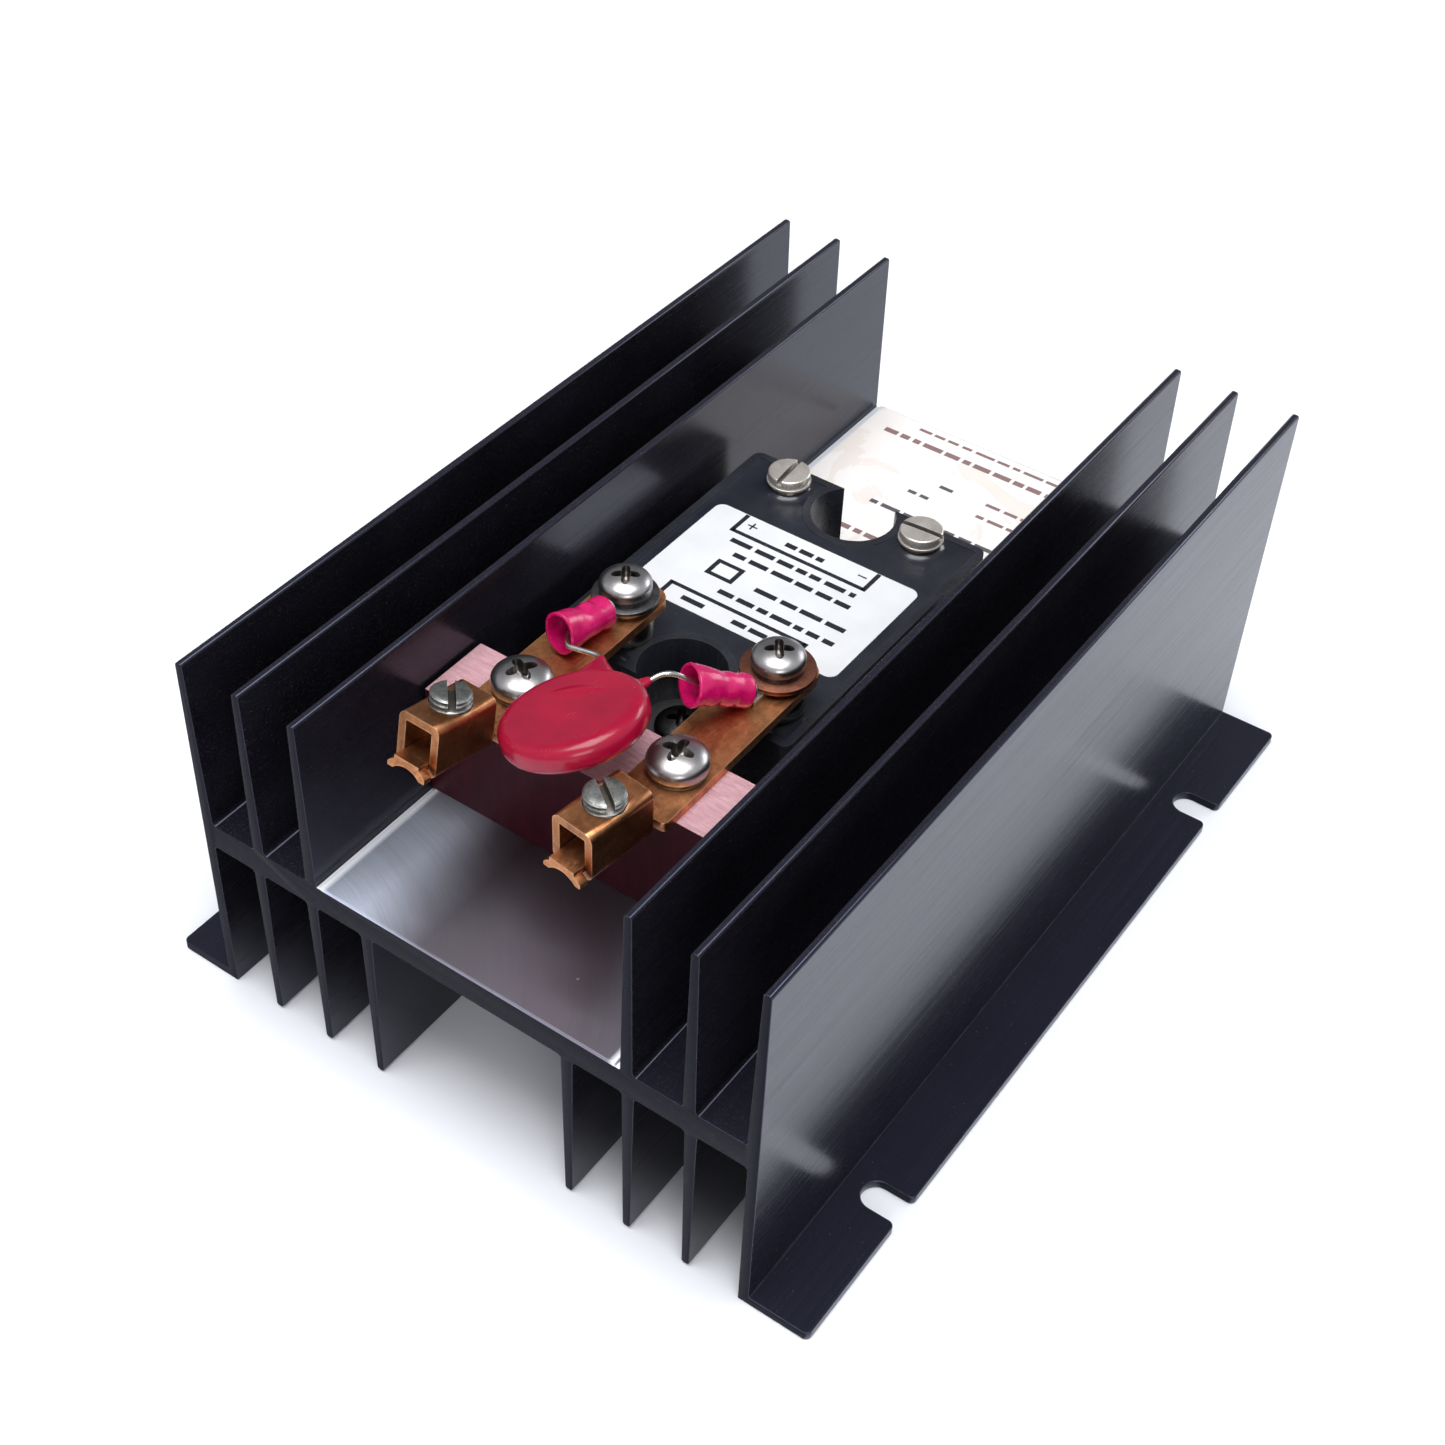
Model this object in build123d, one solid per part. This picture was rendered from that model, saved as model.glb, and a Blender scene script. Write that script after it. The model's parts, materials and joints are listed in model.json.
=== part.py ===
from build123d import *
import os

# A panel-mount solid state relay on its own finned heatsink.
# Millimetres. The origin is the centre of the footprint on the mounting plane, +Z up,
# +X across the fins, +Y along the fins from the load terminals towards the input terminals.

# ---- heatsink extrusion
SINK_WIDTH = 120.65
SINK_LENGTH = 152.4
SINK_HEIGHT = 66.7
WEB_BOTTOM = 30.8
WEB_TOP = 35.5
FLOOR_TOP = 36.0  # milled channel floor
FLOOR_HALF_WIDTH = 26.6
FIN_ROOT = 2.1
FIN_TIP = 1.3
UPPER_FINS = (28.5, 38.85)
LOWER_FINS = (18.3, 28.8, 39.3)
LOWER_FIN_END = 0.3
LEG_OUTSIDE = 50.25
LEG_THICKNESS = 1.8
FOOT_THICKNESS = 1.6
SLOT_RADIUS = 2.55
SLOT_CENTRE_X = 55.75
SLOT_SPACING_Y = 101.6

# ---- relay
RELAY_X = -2.7
RELAY_Y = 3.1
RELAY_WIDTH = 44.5
RELAY_LENGTH = 57.6
CORNER_RADIUS = 1.5
PAD_THICKNESS = 0.2
BASEPLATE_BOTTOM = FLOOR_TOP + PAD_THICKNESS
BASEPLATE_TOP = BASEPLATE_BOTTOM + 3.2
POTTING_TOP = 51.6
CASE_TOP = 51.9
CASE_WALL = 1.3
MOUNT_SPACING = 47.6
NOTCH_RADIUS = 7.0
MOUNT_HOLE_RADIUS = 2.4
FRONT_MOUNT_Y = RELAY_Y - MOUNT_SPACING / 2
REAR_MOUNT_Y = RELAY_Y + MOUNT_SPACING / 2
BOARD_BOTTOM = 44.0
BOARD_TOP = 45.6

# ---- power stage and control board, inside the relay
SUBSTRATE_TOP = BASEPLATE_TOP + 0.6
COPPER_TOP = SUBSTRATE_TOP + 0.3
CHIP_TOP = COPPER_TOP + 0.4
SUBSTRATE_X = (-18.0, 15.6)
SUBSTRATE_Y = (-11.5, 3.0)
COPPER_MARGIN = 0.6  # bare ceramic left round the copper
COPPER_SPANS_X = ((-17.4, -9.4), (-8.6, 6.2), (7.0, 15.0))
CHIP_HALF = 3.0
CHIP_X = (-5.2, 2.8)
CHIP_Y = -4.5
GATE_WIRE_RADIUS = 0.3
GATE_WIRE_HEIGHT = 42.4
GATE_WIRE_END_Y = 8.0
OUTPUT_LEAD_WIDTH = 4.0
OUTPUT_LEAD_THICKNESS = 0.8
OUTPUT_LEAD_TOP = 48.0
BOARD_CENTRE_Y = 17.2
BOARD_WIDTH = 39.0
BOARD_DEPTH = 25.0

# ---- terminals
OUTPUT_X = {"left": -14.9, "right": 12.8}
OUTPUT_Y = -18.7
INPUT_X = {"left": RELAY_X - 12.7, "right": RELAY_X + 12.7}
INPUT_Y = REAR_MOUNT_Y
OUTPUT_POST_RADIUS = 4.5
INPUT_POST_RADIUS = 3.3
INPUT_POST_TOP = 53.0
OUTPUT_STEM_RADIUS = 3.4
THREAD_CLEARANCE = 0.05  # radial, between a screw and the thread it runs in
NO8_RADIUS = 2.05
NO10_RADIUS = 2.4
NO6_RADIUS = 1.72

# ---- straps, insulator block and box lugs
STRAP_BOTTOM = 56.1
STRAP_TOP = 57.7
STRAP_WIDTH = 10.0
STRAP_FRONT = -53.3
STRAP_REAR = -13.2
BLOCK_Y = -44.45
BLOCK_DEPTH = 12.7
BLOCK_HALF_WIDTH = 27.2
BLOCK_SCREW_Y = -43.5
FIXING_SCREW_X = 9.0
LUG_WIDTH = 7.3
LUG_LENGTH = 11.9
LUG_HEIGHT = 8.5
LUG_WALL = 1.3
LUG_FLOOR = 1.2
LUG_CENTRE = -7.4  # along the tongue, from its root
LUG_BOTTOM = -1.25
TONGUE_WIDTH = 4.5
TONGUE_THICKNESS = 1.2
TONGUE_END = -15.4
LIP_WIDTH = 6.8
LIP_START = -13.95
LUG_SCREW_RADIUS = 3.05
LUG_SCREW_LENGTH = 4.76
LUG_SCREW_STANDOFF = 1.9  # how far the screw stands above its collar
LUG_SCREW_LOCAL_Y = LUG_CENTRE + 0.3

# ---- heads and washers
PAN_HEAD = {"output": (4.1, 2.7), "block": (4.6, 3.0), "number_8": (4.1, 2.6)}  # radius, height
RING_THICKNESS = 0.8
RING_TOP = STRAP_TOP + RING_THICKNESS
OUTPUT_FLAT_RADIUS = {"left": 5.2, "right": 5.7}
OUTPUT_FLAT_TOP = RING_TOP + 0.8
LOCK_WASHER_THICKNESS = 0.9
OUTPUT_SEAT = OUTPUT_FLAT_TOP + LOCK_WASHER_THICKNESS
BLOCK_SEAT = STRAP_TOP + LOCK_WASHER_THICKNESS
INPUT_WASHER_THICKNESS = 0.45
INPUT_SEAT = INPUT_POST_TOP + INPUT_WASHER_THICKNESS
INPUT_HEAD_RADIUS = 3.5
INPUT_HEAD_HEIGHT = 1.6

# How far each head is turned, in degrees from +X.
OUTPUT_TURN = {"left": 34, "right": 36}
BLOCK_TURN = {"left": 63, "right": 5}
INPUT_TURN = {"left": 94, "right": 4}
LUG_TURN = {"left": -46, "right": -37.5}  # in the tongue's own frame

# Each tongue leaves the strap in its own frame: y = 0 at its root, +Z up through the collar.
TONGUE_FRAME = {
    "left": Pos(-15.3, -52.5, 56.75) * Rot(X=-11, Z=-2),
    "right": Pos(13.1, -52.5, 56.75) * Rot(Z=-6.5),
}

# ---- varistor and its ring terminals
DISC_RADIUS = 11.05
DISC_THICKNESS = 4.6
DISC_FRAME = Pos(-0.75, -49.4, 63.6) * Rot(Y=-18.5)
LEAD_RADIUS = 0.4
RING_RADIUS = 3.9
BARREL_RADIUS = 1.65
BARREL_BORE = 0.9
SLEEVE_LENGTH = 9.4
SLEEVE_RADIUS = 2.3
BELL_RADIUS = 3.1
SLEEVE_START = {"left": Vector(-14.3, -25.1, 60.05), "right": Vector(12.4, -26.8, 60.05)}
SLEEVE_MOUTH = {"left": Vector(-15.2, -33.9, 61.4), "right": Vector(7.5, -34.6, 64.3)}


def block(x0, x1, y0, y1, z0, z1):
    """A box between two corners."""
    return Pos((x0 + x1) / 2, (y0 + y1) / 2, (z0 + z1) / 2) * Box(x1 - x0, y1 - y0, z1 - z0)


def upright(x, y, z0, z1, radius):
    """A cylinder standing on z0."""
    return Pos(x, y, (z0 + z1) / 2) * Cylinder(radius, z1 - z0)


def slab(sketch, z0, z1):
    """A flat sketch given thickness between two heights."""
    return extrude(Pos(0, 0, z0) * sketch, amount=z1 - z0)


def round_wire(points, radius, bend):
    """A round wire through points, with rounded bends."""
    path = FilletPolyline(*points, radius=bend)
    return sweep(path.location_at(0) * Circle(radius), path=path)


# ---------------------------------------------------------------- heatsink
def tapered_fin(x, root_z, tip_z):
    """One fin in section, thick at its root and thin at its tip."""
    corners = [(x - FIN_ROOT / 2, root_z), (x + FIN_ROOT / 2, root_z)]
    corners += [(x + FIN_TIP / 2, tip_z), (x - FIN_TIP / 2, tip_z)]
    return make_face(Polyline(*corners, close=True))


def outer_fin(side):
    """The outer fin, whose outside face runs straight down into the leg."""
    inner_root = LEG_OUTSIDE - FIN_ROOT
    inner_tip = LEG_OUTSIDE - FIN_TIP
    corners = [(LEG_OUTSIDE, WEB_TOP), (LEG_OUTSIDE, SINK_HEIGHT)]
    corners += [(inner_tip, SINK_HEIGHT), (inner_root, WEB_TOP)]
    return make_face(Polyline(*[(side * x, z) for x, z in corners], close=True))


def section_rectangle(x0, x1, z0, z1):
    return Pos((x0 + x1) / 2, (z0 + z1) / 2) * Rectangle(abs(x1 - x0), z1 - z0)


def heatsink_section():
    """The extrusion's section: x across, y up."""
    section = section_rectangle(-LEG_OUTSIDE, LEG_OUTSIDE, WEB_BOTTOM, WEB_TOP)
    section += section_rectangle(-FLOOR_HALF_WIDTH, FLOOR_HALF_WIDTH, WEB_TOP - 1, FLOOR_TOP)
    for side in (-1, 1):
        section += outer_fin(side)
        section += section_rectangle(side * LEG_OUTSIDE, side * (LEG_OUTSIDE - LEG_THICKNESS), 0, WEB_TOP)
        section += section_rectangle(side * (LEG_OUTSIDE - 0.5), side * SINK_WIDTH / 2, 0, FOOT_THICKNESS)
        for x in UPPER_FINS:
            section += tapered_fin(side * x, WEB_TOP - 0.5, SINK_HEIGHT)
        for x in LOWER_FINS:
            section += tapered_fin(side * x, WEB_BOTTOM + 0.5, LOWER_FIN_END)
    tips = [v for v in section.vertices() if v.Y > SINK_HEIGHT - 0.1]
    tips += [v for v in section.vertices() if abs(v.Y - LOWER_FIN_END) < 0.1 and abs(v.X) < 45]
    section = fillet(tips, 0.45)
    roots = [v for v in section.vertices() if abs(v.Y - WEB_TOP) < 0.1 and abs(v.X) > FLOOR_HALF_WIDTH + 2]
    roots += [v for v in section.vertices() if abs(v.Y - WEB_BOTTOM) < 0.1 and abs(v.X) < LEG_OUTSIDE - 1]
    return fillet([v for v in roots if abs(v.X) < LEG_OUTSIDE - 0.1], 0.7)


def foot_slot(side, y):
    """A slot through the foot, open at the foot's outer edge."""
    cut = upright(side * SLOT_CENTRE_X, y, -1, FOOT_THICKNESS + 1, SLOT_RADIUS)
    mouth = sorted((side * SLOT_CENTRE_X, side * (SINK_WIDTH / 2 + 2)))
    return cut + block(*mouth, y - SLOT_RADIUS, y + SLOT_RADIUS, -1, FOOT_THICKNESS + 1)


def heatsink():
    body = extrude(Plane.XZ * heatsink_section(), amount=SINK_LENGTH / 2, both=True)
    for side in (-1, 1):
        for end in (-1, 1):
            body -= foot_slot(side, end * SLOT_SPACING_Y / 2)
    corners = body.edges().filter_by(Axis.Z).filter_by(lambda e: abs(e.center().X) > SINK_WIDTH / 2 - 0.1)
    body = fillet(corners, 1.0)
    body -= upright(RELAY_X, FRONT_MOUNT_Y, WEB_BOTTOM - 1, FLOOR_TOP + 1, NO8_RADIUS + THREAD_CLEARANCE)
    for side in (-1, 1):
        body -= upright(side * FIXING_SCREW_X, BLOCK_Y, WEB_BOTTOM - 1, FLOOR_TOP + 1, NO8_RADIUS + 0.2)
    return body


# ---------------------------------------------------------------- relay case and inside
def relay_outline(notch_radius):
    """The relay from above: a rounded rectangle with a round notch cut in from each end."""
    outline = Pos(RELAY_X, RELAY_Y) * RectangleRounded(RELAY_WIDTH, RELAY_LENGTH, CORNER_RADIUS)
    for y in (FRONT_MOUNT_Y, REAR_MOUNT_Y):
        outline -= Pos(RELAY_X, y) * Circle(notch_radius)
    return outline


def inner_outline(gap=0.0):
    """The space inside the case walls, less gap all round."""
    inset = CASE_WALL + gap
    outline = Pos(RELAY_X, RELAY_Y) * Rectangle(RELAY_WIDTH - 2 * inset, RELAY_LENGTH - 2 * inset)
    for y in (FRONT_MOUNT_Y, REAR_MOUNT_Y):
        outline -= Pos(RELAY_X, y) * Circle(NOTCH_RADIUS + inset)
    return outline


def baseplate_outline():
    """The metal base: a round hole in front and a slot open to the rear edge."""
    outline = Pos(RELAY_X, RELAY_Y) * RectangleRounded(RELAY_WIDTH, RELAY_LENGTH, CORNER_RADIUS)
    outline -= Pos(RELAY_X, FRONT_MOUNT_Y) * Circle(MOUNT_HOLE_RADIUS)
    outline -= Pos(RELAY_X, REAR_MOUNT_Y) * Circle(MOUNT_HOLE_RADIUS)
    return outline - Pos(RELAY_X, REAR_MOUNT_Y + 5) * Rectangle(2 * MOUNT_HOLE_RADIUS, 10)


def relay_case():
    """The open moulded frame that holds the potting."""
    wall = relay_outline(NOTCH_RADIUS) - inner_outline()
    return slab(wall, BASEPLATE_TOP, CASE_TOP)


def ceramic_substrate():
    return block(*SUBSTRATE_X, *SUBSTRATE_Y, BASEPLATE_TOP, SUBSTRATE_TOP)


def copper_pads():
    """Three pads on the ceramic: one under each output lead and one between them."""
    front = SUBSTRATE_Y[0] + COPPER_MARGIN
    rear = SUBSTRATE_Y[1] - COPPER_MARGIN
    return Compound([block(*span, front, rear, SUBSTRATE_TOP, COPPER_TOP) for span in COPPER_SPANS_X])


def thyristor_chips():
    chips = []
    for x in CHIP_X:
        span_y = (CHIP_Y - CHIP_HALF, CHIP_Y + CHIP_HALF)
        chips.append(block(x - CHIP_HALF, x + CHIP_HALF, *span_y, COPPER_TOP, CHIP_TOP))
    return Compound(chips)


def gate_leads():
    """Two wires that join the control board to the thyristor chips."""
    wires = []
    for x in CHIP_X:
        level = [(x, CHIP_Y, GATE_WIRE_HEIGHT), (x, GATE_WIRE_END_Y, GATE_WIRE_HEIGHT)]
        points = [(x, CHIP_Y, CHIP_TOP), *level, (x, GATE_WIRE_END_Y, BOARD_BOTTOM)]
        wires.append(round_wire(points, GATE_WIRE_RADIUS, 2 * GATE_WIRE_RADIUS))
    return Compound(wires)


def control_board():
    """The printed circuit board, cut round the rear mounting notch."""
    outline = Pos(RELAY_X, BOARD_CENTRE_Y) * Rectangle(BOARD_WIDTH, BOARD_DEPTH)
    outline -= Pos(RELAY_X, REAR_MOUNT_Y) * Circle(NOTCH_RADIUS + CASE_WALL + 0.4)
    return slab(outline, BOARD_BOTTOM, BOARD_TOP)


def optocoupler():
    width, depth, height = 8.6, 6.5, 3.5
    return Pos(RELAY_X, 10.75, BOARD_TOP + height / 2) * Box(width, depth, height)


def board_resistors():
    """Two axial resistors lying on the board."""
    radius, length = 1.2, 6.4
    lying = Rot(Y=90) * Cylinder(radius, length)
    return Compound([Pos(RELAY_X - 12.5, y, BOARD_TOP + radius) * lying for y in (8.5, 12.5)])


def board_capacitor():
    radius, height = 2.6, 4.6
    return upright(RELAY_X + 12, 11.5, BOARD_TOP, BOARD_TOP + height, radius)


def output_lead(side):
    """A formed copper strip from the pad on the ceramic up to the underside of the post."""
    x0 = OUTPUT_X[side] - OUTPUT_LEAD_WIDTH / 2
    x1 = OUTPUT_X[side] + OUTPUT_LEAD_WIDTH / 2
    riser_y = -10.0
    foot = block(x0, x1, riser_y, riser_y + 4.5, COPPER_TOP, COPPER_TOP + OUTPUT_LEAD_THICKNESS)
    riser = block(x0, x1, riser_y - OUTPUT_LEAD_THICKNESS, riser_y, COPPER_TOP, OUTPUT_LEAD_TOP)
    top = block(x0, x1, OUTPUT_Y - 2.3, riser_y, OUTPUT_LEAD_TOP - OUTPUT_LEAD_THICKNESS, OUTPUT_LEAD_TOP)
    return foot + riser + top


def output_post(side):
    """A threaded output post with a wide seat that stands clear of the potting."""
    x = OUTPUT_X[side]
    seat_bottom = CASE_TOP + 0.1
    post = upright(x, OUTPUT_Y, OUTPUT_LEAD_TOP, seat_bottom, OUTPUT_STEM_RADIUS)
    seat = upright(x, OUTPUT_Y, seat_bottom, STRAP_BOTTOM, OUTPUT_POST_RADIUS)
    post += chamfer(seat.edges().group_by(Axis.Z)[-1], 0.3)
    return post - upright(x, OUTPUT_Y, OUTPUT_LEAD_TOP + 1.6, STRAP_BOTTOM + 1, NO8_RADIUS + THREAD_CLEARANCE)


def input_post(side):
    x = INPUT_X[side]
    post = upright(x, INPUT_Y, BOARD_TOP, INPUT_POST_TOP, INPUT_POST_RADIUS)
    post = chamfer(post.edges().group_by(Axis.Z)[-1], 0.2)
    bore_bottom = BOARD_TOP + 1.4
    return post - upright(x, INPUT_Y, bore_bottom, INPUT_POST_TOP + 1, NO6_RADIUS + THREAD_CLEARANCE)


def relay_potting():
    """The compound that fills the case round everything inside it."""
    fill = slab(inner_outline(), BASEPLATE_TOP, POTTING_TOP)
    inside = [ceramic_substrate(), control_board(), optocoupler(), board_capacitor()]
    inside += copper_pads().solids() + thyristor_chips().solids() + gate_leads().solids()
    inside += board_resistors().solids()
    for side in ("left", "right"):
        inside.append(output_lead(side))
        inside.append(upright(OUTPUT_X[side], OUTPUT_Y, OUTPUT_LEAD_TOP, CASE_TOP + 1, OUTPUT_STEM_RADIUS))
        inside.append(upright(INPUT_X[side], INPUT_Y, BOARD_TOP, CASE_TOP + 1, INPUT_POST_RADIUS))
    for piece in inside:
        fill -= piece
    return fill


def relay_label():
    face = Pos(RELAY_X, 3.85) * RectangleRounded(38.4, 25.5, 1.6)
    return slab(face, POTTING_TOP, POTTING_TOP + 0.1)


def heatsink_sticker():
    return slab(Pos(0, 54.7) * RectangleRounded(52.0, 42.4, 0.8), FLOOR_TOP, FLOOR_TOP + 0.1)


# ---------------------------------------------------------------- screws and washers
def cross_recess(z, radius, depth, turn):
    """A cross recess sunk from z, four straight arms round a round middle."""
    arm_width = 0.36 * radius
    middle_radius = 0.4 * radius
    cross = Rectangle(2 * radius, arm_width) + Rectangle(arm_width, 2 * radius) + Circle(middle_radius)
    return Rot(Z=turn) * slab(cross, z - depth, z)


def pan_screw(x, y, seat, head, shank_radius, shank_length, turn):
    """A cross-recess pan-head screw whose head, named in PAN_HEAD, sits on seat."""
    head_radius, head_height = PAN_HEAD[head]
    rim = 0.38 * head_height
    outline = Polyline((0, 0), (head_radius, 0), (head_radius, rim))
    dome = ThreePointArc((head_radius, rim), (0.66 * head_radius, 0.84 * head_height), (0, head_height))
    profile = make_face([outline, dome, Line((0, head_height), (0, 0))])
    screw = revolve(Plane.XZ * profile, Axis.Z)
    screw -= cross_recess(head_height + 0.05, 0.56 * head_radius, 0.62 * head_height, turn)
    shank = upright(0, 0, -shank_length, 0.1, shank_radius)
    shank = chamfer(shank.edges().group_by(Axis.Z)[0], 0.4)
    return Pos(x, y, seat) * (screw + shank)


def washer(x, y, bottom, thickness, radius, hole):
    ring = upright(x, y, bottom, bottom + thickness, radius)
    ring -= upright(x, y, bottom - 1, bottom + thickness + 1, hole)
    return chamfer(ring.edges().group_by(Axis.Z)[-1].sort_by(SortBy.RADIUS)[-1:], 0.15)


def lock_washer(x, y, bottom, thickness, radius, hole, turn):
    """A split spring washer."""
    ring = upright(0, 0, 0, thickness, radius) - upright(0, 0, -1, thickness + 1, hole)
    split = Rot(X=25) * Box(2 * (radius - hole) + 1, 0.5, 4 * thickness)
    ring -= Rot(Z=turn) * Pos(radius, 0, thickness / 2) * split
    return Pos(x, y, bottom) * ring


def slotted_head_screw(x, y, seat, turn):
    """An input terminal screw: a low cheese head with a straight slot."""
    slot_width, slot_depth = 0.9, 1.0
    head = upright(0, 0, 0, INPUT_HEAD_HEIGHT, INPUT_HEAD_RADIUS)
    head = chamfer(head.edges().group_by(Axis.Z)[-1], 0.25)
    head -= Rot(Z=turn) * Pos(0, 0, INPUT_HEAD_HEIGHT) * Box(9, slot_width, 2 * slot_depth)
    shank = upright(0, 0, -5.2, 0.1, NO6_RADIUS)
    return Pos(x, y, seat) * (head + chamfer(shank.edges().group_by(Axis.Z)[0], 0.3))


def block_fixing_screws():
    """Two screws from below that hold the insulator block to the heatsink."""
    screws = []
    for side in (-1, 1):
        screw = pan_screw(0, 0, 0, "number_8", NO8_RADIUS, 15.0, 20 * side)
        screws.append(Pos(side * FIXING_SCREW_X, BLOCK_Y, WEB_BOTTOM) * Rot(X=180) * screw)
    return Compound(screws)


def relay_mounting_screw():
    return pan_screw(RELAY_X, FRONT_MOUNT_Y, BASEPLATE_TOP, "number_8", NO8_RADIUS, 8.2, 30)


# ---------------------------------------------------------------- insulator block, straps and box lugs
def insulator_block():
    height = STRAP_BOTTOM - FLOOR_TOP
    body = Pos(0, BLOCK_Y, FLOOR_TOP + height / 2) * Box(2 * BLOCK_HALF_WIDTH, BLOCK_DEPTH, height)
    for x in OUTPUT_X.values():
        body -= upright(x, BLOCK_SCREW_Y, 44.5, STRAP_BOTTOM + 1, NO10_RADIUS + THREAD_CLEARANCE)
    for side in (-1, 1):
        body -= upright(side * FIXING_SCREW_X, BLOCK_Y, FLOOR_TOP - 1, 47.5, NO8_RADIUS + THREAD_CLEARANCE)
    return body


def tongue():
    """The strap's narrow end that lies in the collar, with a wide arched lip in front of it."""
    flat = block(-TONGUE_WIDTH / 2, TONGUE_WIDTH / 2, TONGUE_END, 1.2, 0, TONGUE_THICKNESS)
    arch_radius = 4.5
    centre = TONGUE_THICKNESS - arch_radius
    band = Pos(0, centre) * (Circle(arch_radius) - Circle(arch_radius - TONGUE_THICKNESS))
    band &= Pos(0, centre + arch_radius) * Rectangle(LIP_WIDTH, arch_radius)
    lip = extrude(Plane.XZ * band, amount=TONGUE_END - LIP_START)
    return flat + Pos(0, LIP_START, 0) * mirror(lip, Plane.XZ)


def strap(side):
    """A flat copper strap, rounded at the rear, narrowed to a tongue in front."""
    x = OUTPUT_X[side]
    plate = block(x - STRAP_WIDTH / 2, x + STRAP_WIDTH / 2, STRAP_FRONT, STRAP_REAR, STRAP_BOTTOM, STRAP_TOP)
    corners = plate.edges().filter_by(Axis.Z)
    plate = fillet(corners.group_by(Axis.Y)[-1], 3.0)
    plate = fillet(plate.edges().filter_by(Axis.Z).group_by(Axis.Y)[0], 0.8)
    plate -= upright(x, OUTPUT_Y, STRAP_BOTTOM - 1, STRAP_TOP + 1, NO8_RADIUS + 0.3)
    plate -= upright(x, BLOCK_SCREW_Y, STRAP_BOTTOM - 1, STRAP_TOP + 1, NO10_RADIUS + 0.2)
    return plate + TONGUE_FRAME[side] * tongue()


def lug_collar(side):
    """A copper box collar round the tongue, tapped for the clamp screw."""
    top = LUG_BOTTOM + LUG_HEIGHT
    outer = Pos(0, LUG_BOTTOM + LUG_HEIGHT / 2) * RectangleRounded(LUG_WIDTH, LUG_HEIGHT, 1.3)
    inner_height = LUG_HEIGHT - LUG_FLOOR - LUG_WALL
    inner_middle = LUG_BOTTOM + LUG_FLOOR + inner_height / 2
    inner = Pos(0, inner_middle) * RectangleRounded(LUG_WIDTH - 2 * LUG_WALL, inner_height, 0.25)
    tube = Pos(0, LUG_CENTRE, 0) * extrude(Plane.XZ * (outer - inner), amount=LUG_LENGTH / 2, both=True)
    hole = LUG_SCREW_RADIUS + THREAD_CLEARANCE
    tube -= upright(0, LUG_SCREW_LOCAL_Y, TONGUE_THICKNESS, top + 1, hole)
    return TONGUE_FRAME[side] * tube


def lug_screw(side):
    """The headless slotted clamp screw."""
    top = LUG_BOTTOM + LUG_HEIGHT + LUG_SCREW_STANDOFF
    slot_width, slot_depth = 0.95, 1.4
    y = LUG_SCREW_LOCAL_Y
    screw = upright(0, y, top - LUG_SCREW_LENGTH, top, LUG_SCREW_RADIUS)
    screw = chamfer(screw.edges().group_by(Axis.Z)[-1], 0.25)
    screw = chamfer(screw.edges().group_by(Axis.Z)[0], 0.4)
    slot = Pos(0, y, top) * Rot(Z=LUG_TURN[side]) * Box(8, slot_width, 2 * slot_depth)
    return TONGUE_FRAME[side] * (screw - slot)


# ---------------------------------------------------------------- varistor
def varistor_disc():
    disc = Cylinder(DISC_RADIUS, DISC_THICKNESS)
    return DISC_FRAME * fillet(disc.edges().filter_by(GeomType.CIRCLE), 1.7)


def sleeve_plane(side):
    """z runs from the ring towards the sleeve's mouth."""
    start = SLEEVE_START[side]
    return Plane(origin=start, z_dir=SLEEVE_MOUTH[side] - start)


LEAD_POINTS = {
    "left": [(-4.6, -40.6, 61.9), (-8.4, -34.9, 60.9), (-13.1, -35.5, 61.2)],
    "right": [(3.2, -40.2, 64.9), (4.4, -36.8, 66.0), (5.9, -35.2, 66.0)],
}


def varistor_lead(side):
    """A bare lead from the rim of the disc into the barrel of its ring terminal."""
    plane = sleeve_plane(side)
    inside = [plane.from_local_coords((0, 0, height)) for height in (SLEEVE_LENGTH - 2.5, 3.0)]
    points = LEAD_POINTS[side] + [tuple(point) for point in inside]
    return round_wire(points, LEAD_RADIUS, 0.9) - varistor_disc()


def ring_terminal(side):
    """A flat ring and tongue, with a round barrel for the wire."""
    x = OUTPUT_X[side]
    ring = upright(x, OUTPUT_Y, STRAP_TOP, RING_TOP, RING_RADIUS)
    start = SLEEVE_START[side]
    run = Vector(start.X - x, start.Y - OUTPUT_Y, 0)
    flat = Plane(origin=(x, OUTPUT_Y, STRAP_TOP), x_dir=run, z_dir=(0, 0, 1))
    reach = run.length - 0.35
    terminal = ring + flat.location * Pos(reach / 2, 0, RING_THICKNESS / 2) * Box(reach, 3.2, RING_THICKNESS)
    terminal -= upright(x, OUTPUT_Y, STRAP_TOP - 1, RING_TOP + 1, NO8_RADIUS + 0.3)
    barrel = Pos(0, 0, 2.4) * (Cylinder(BARREL_RADIUS, 7.2) - Cylinder(BARREL_BORE, 8))
    return terminal + sleeve_plane(side).location * barrel


def crimp_sleeve(side):
    """The vinyl sleeve: straight over the barrel, then flared to a mouth."""
    inner = BARREL_RADIUS + 0.05
    wall = SLEEVE_RADIUS - inner
    outside = [(SLEEVE_RADIUS, 0), (SLEEVE_RADIUS, 6.2), (BELL_RADIUS, SLEEVE_LENGTH)]
    inside = [(BELL_RADIUS - wall, SLEEVE_LENGTH), (inner, 6.4), (inner, 0)]
    profile = make_face(Polyline(*outside, *inside, close=True))
    return sleeve_plane(side).location * revolve(Plane.XZ * profile, Axis.Z)


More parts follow.
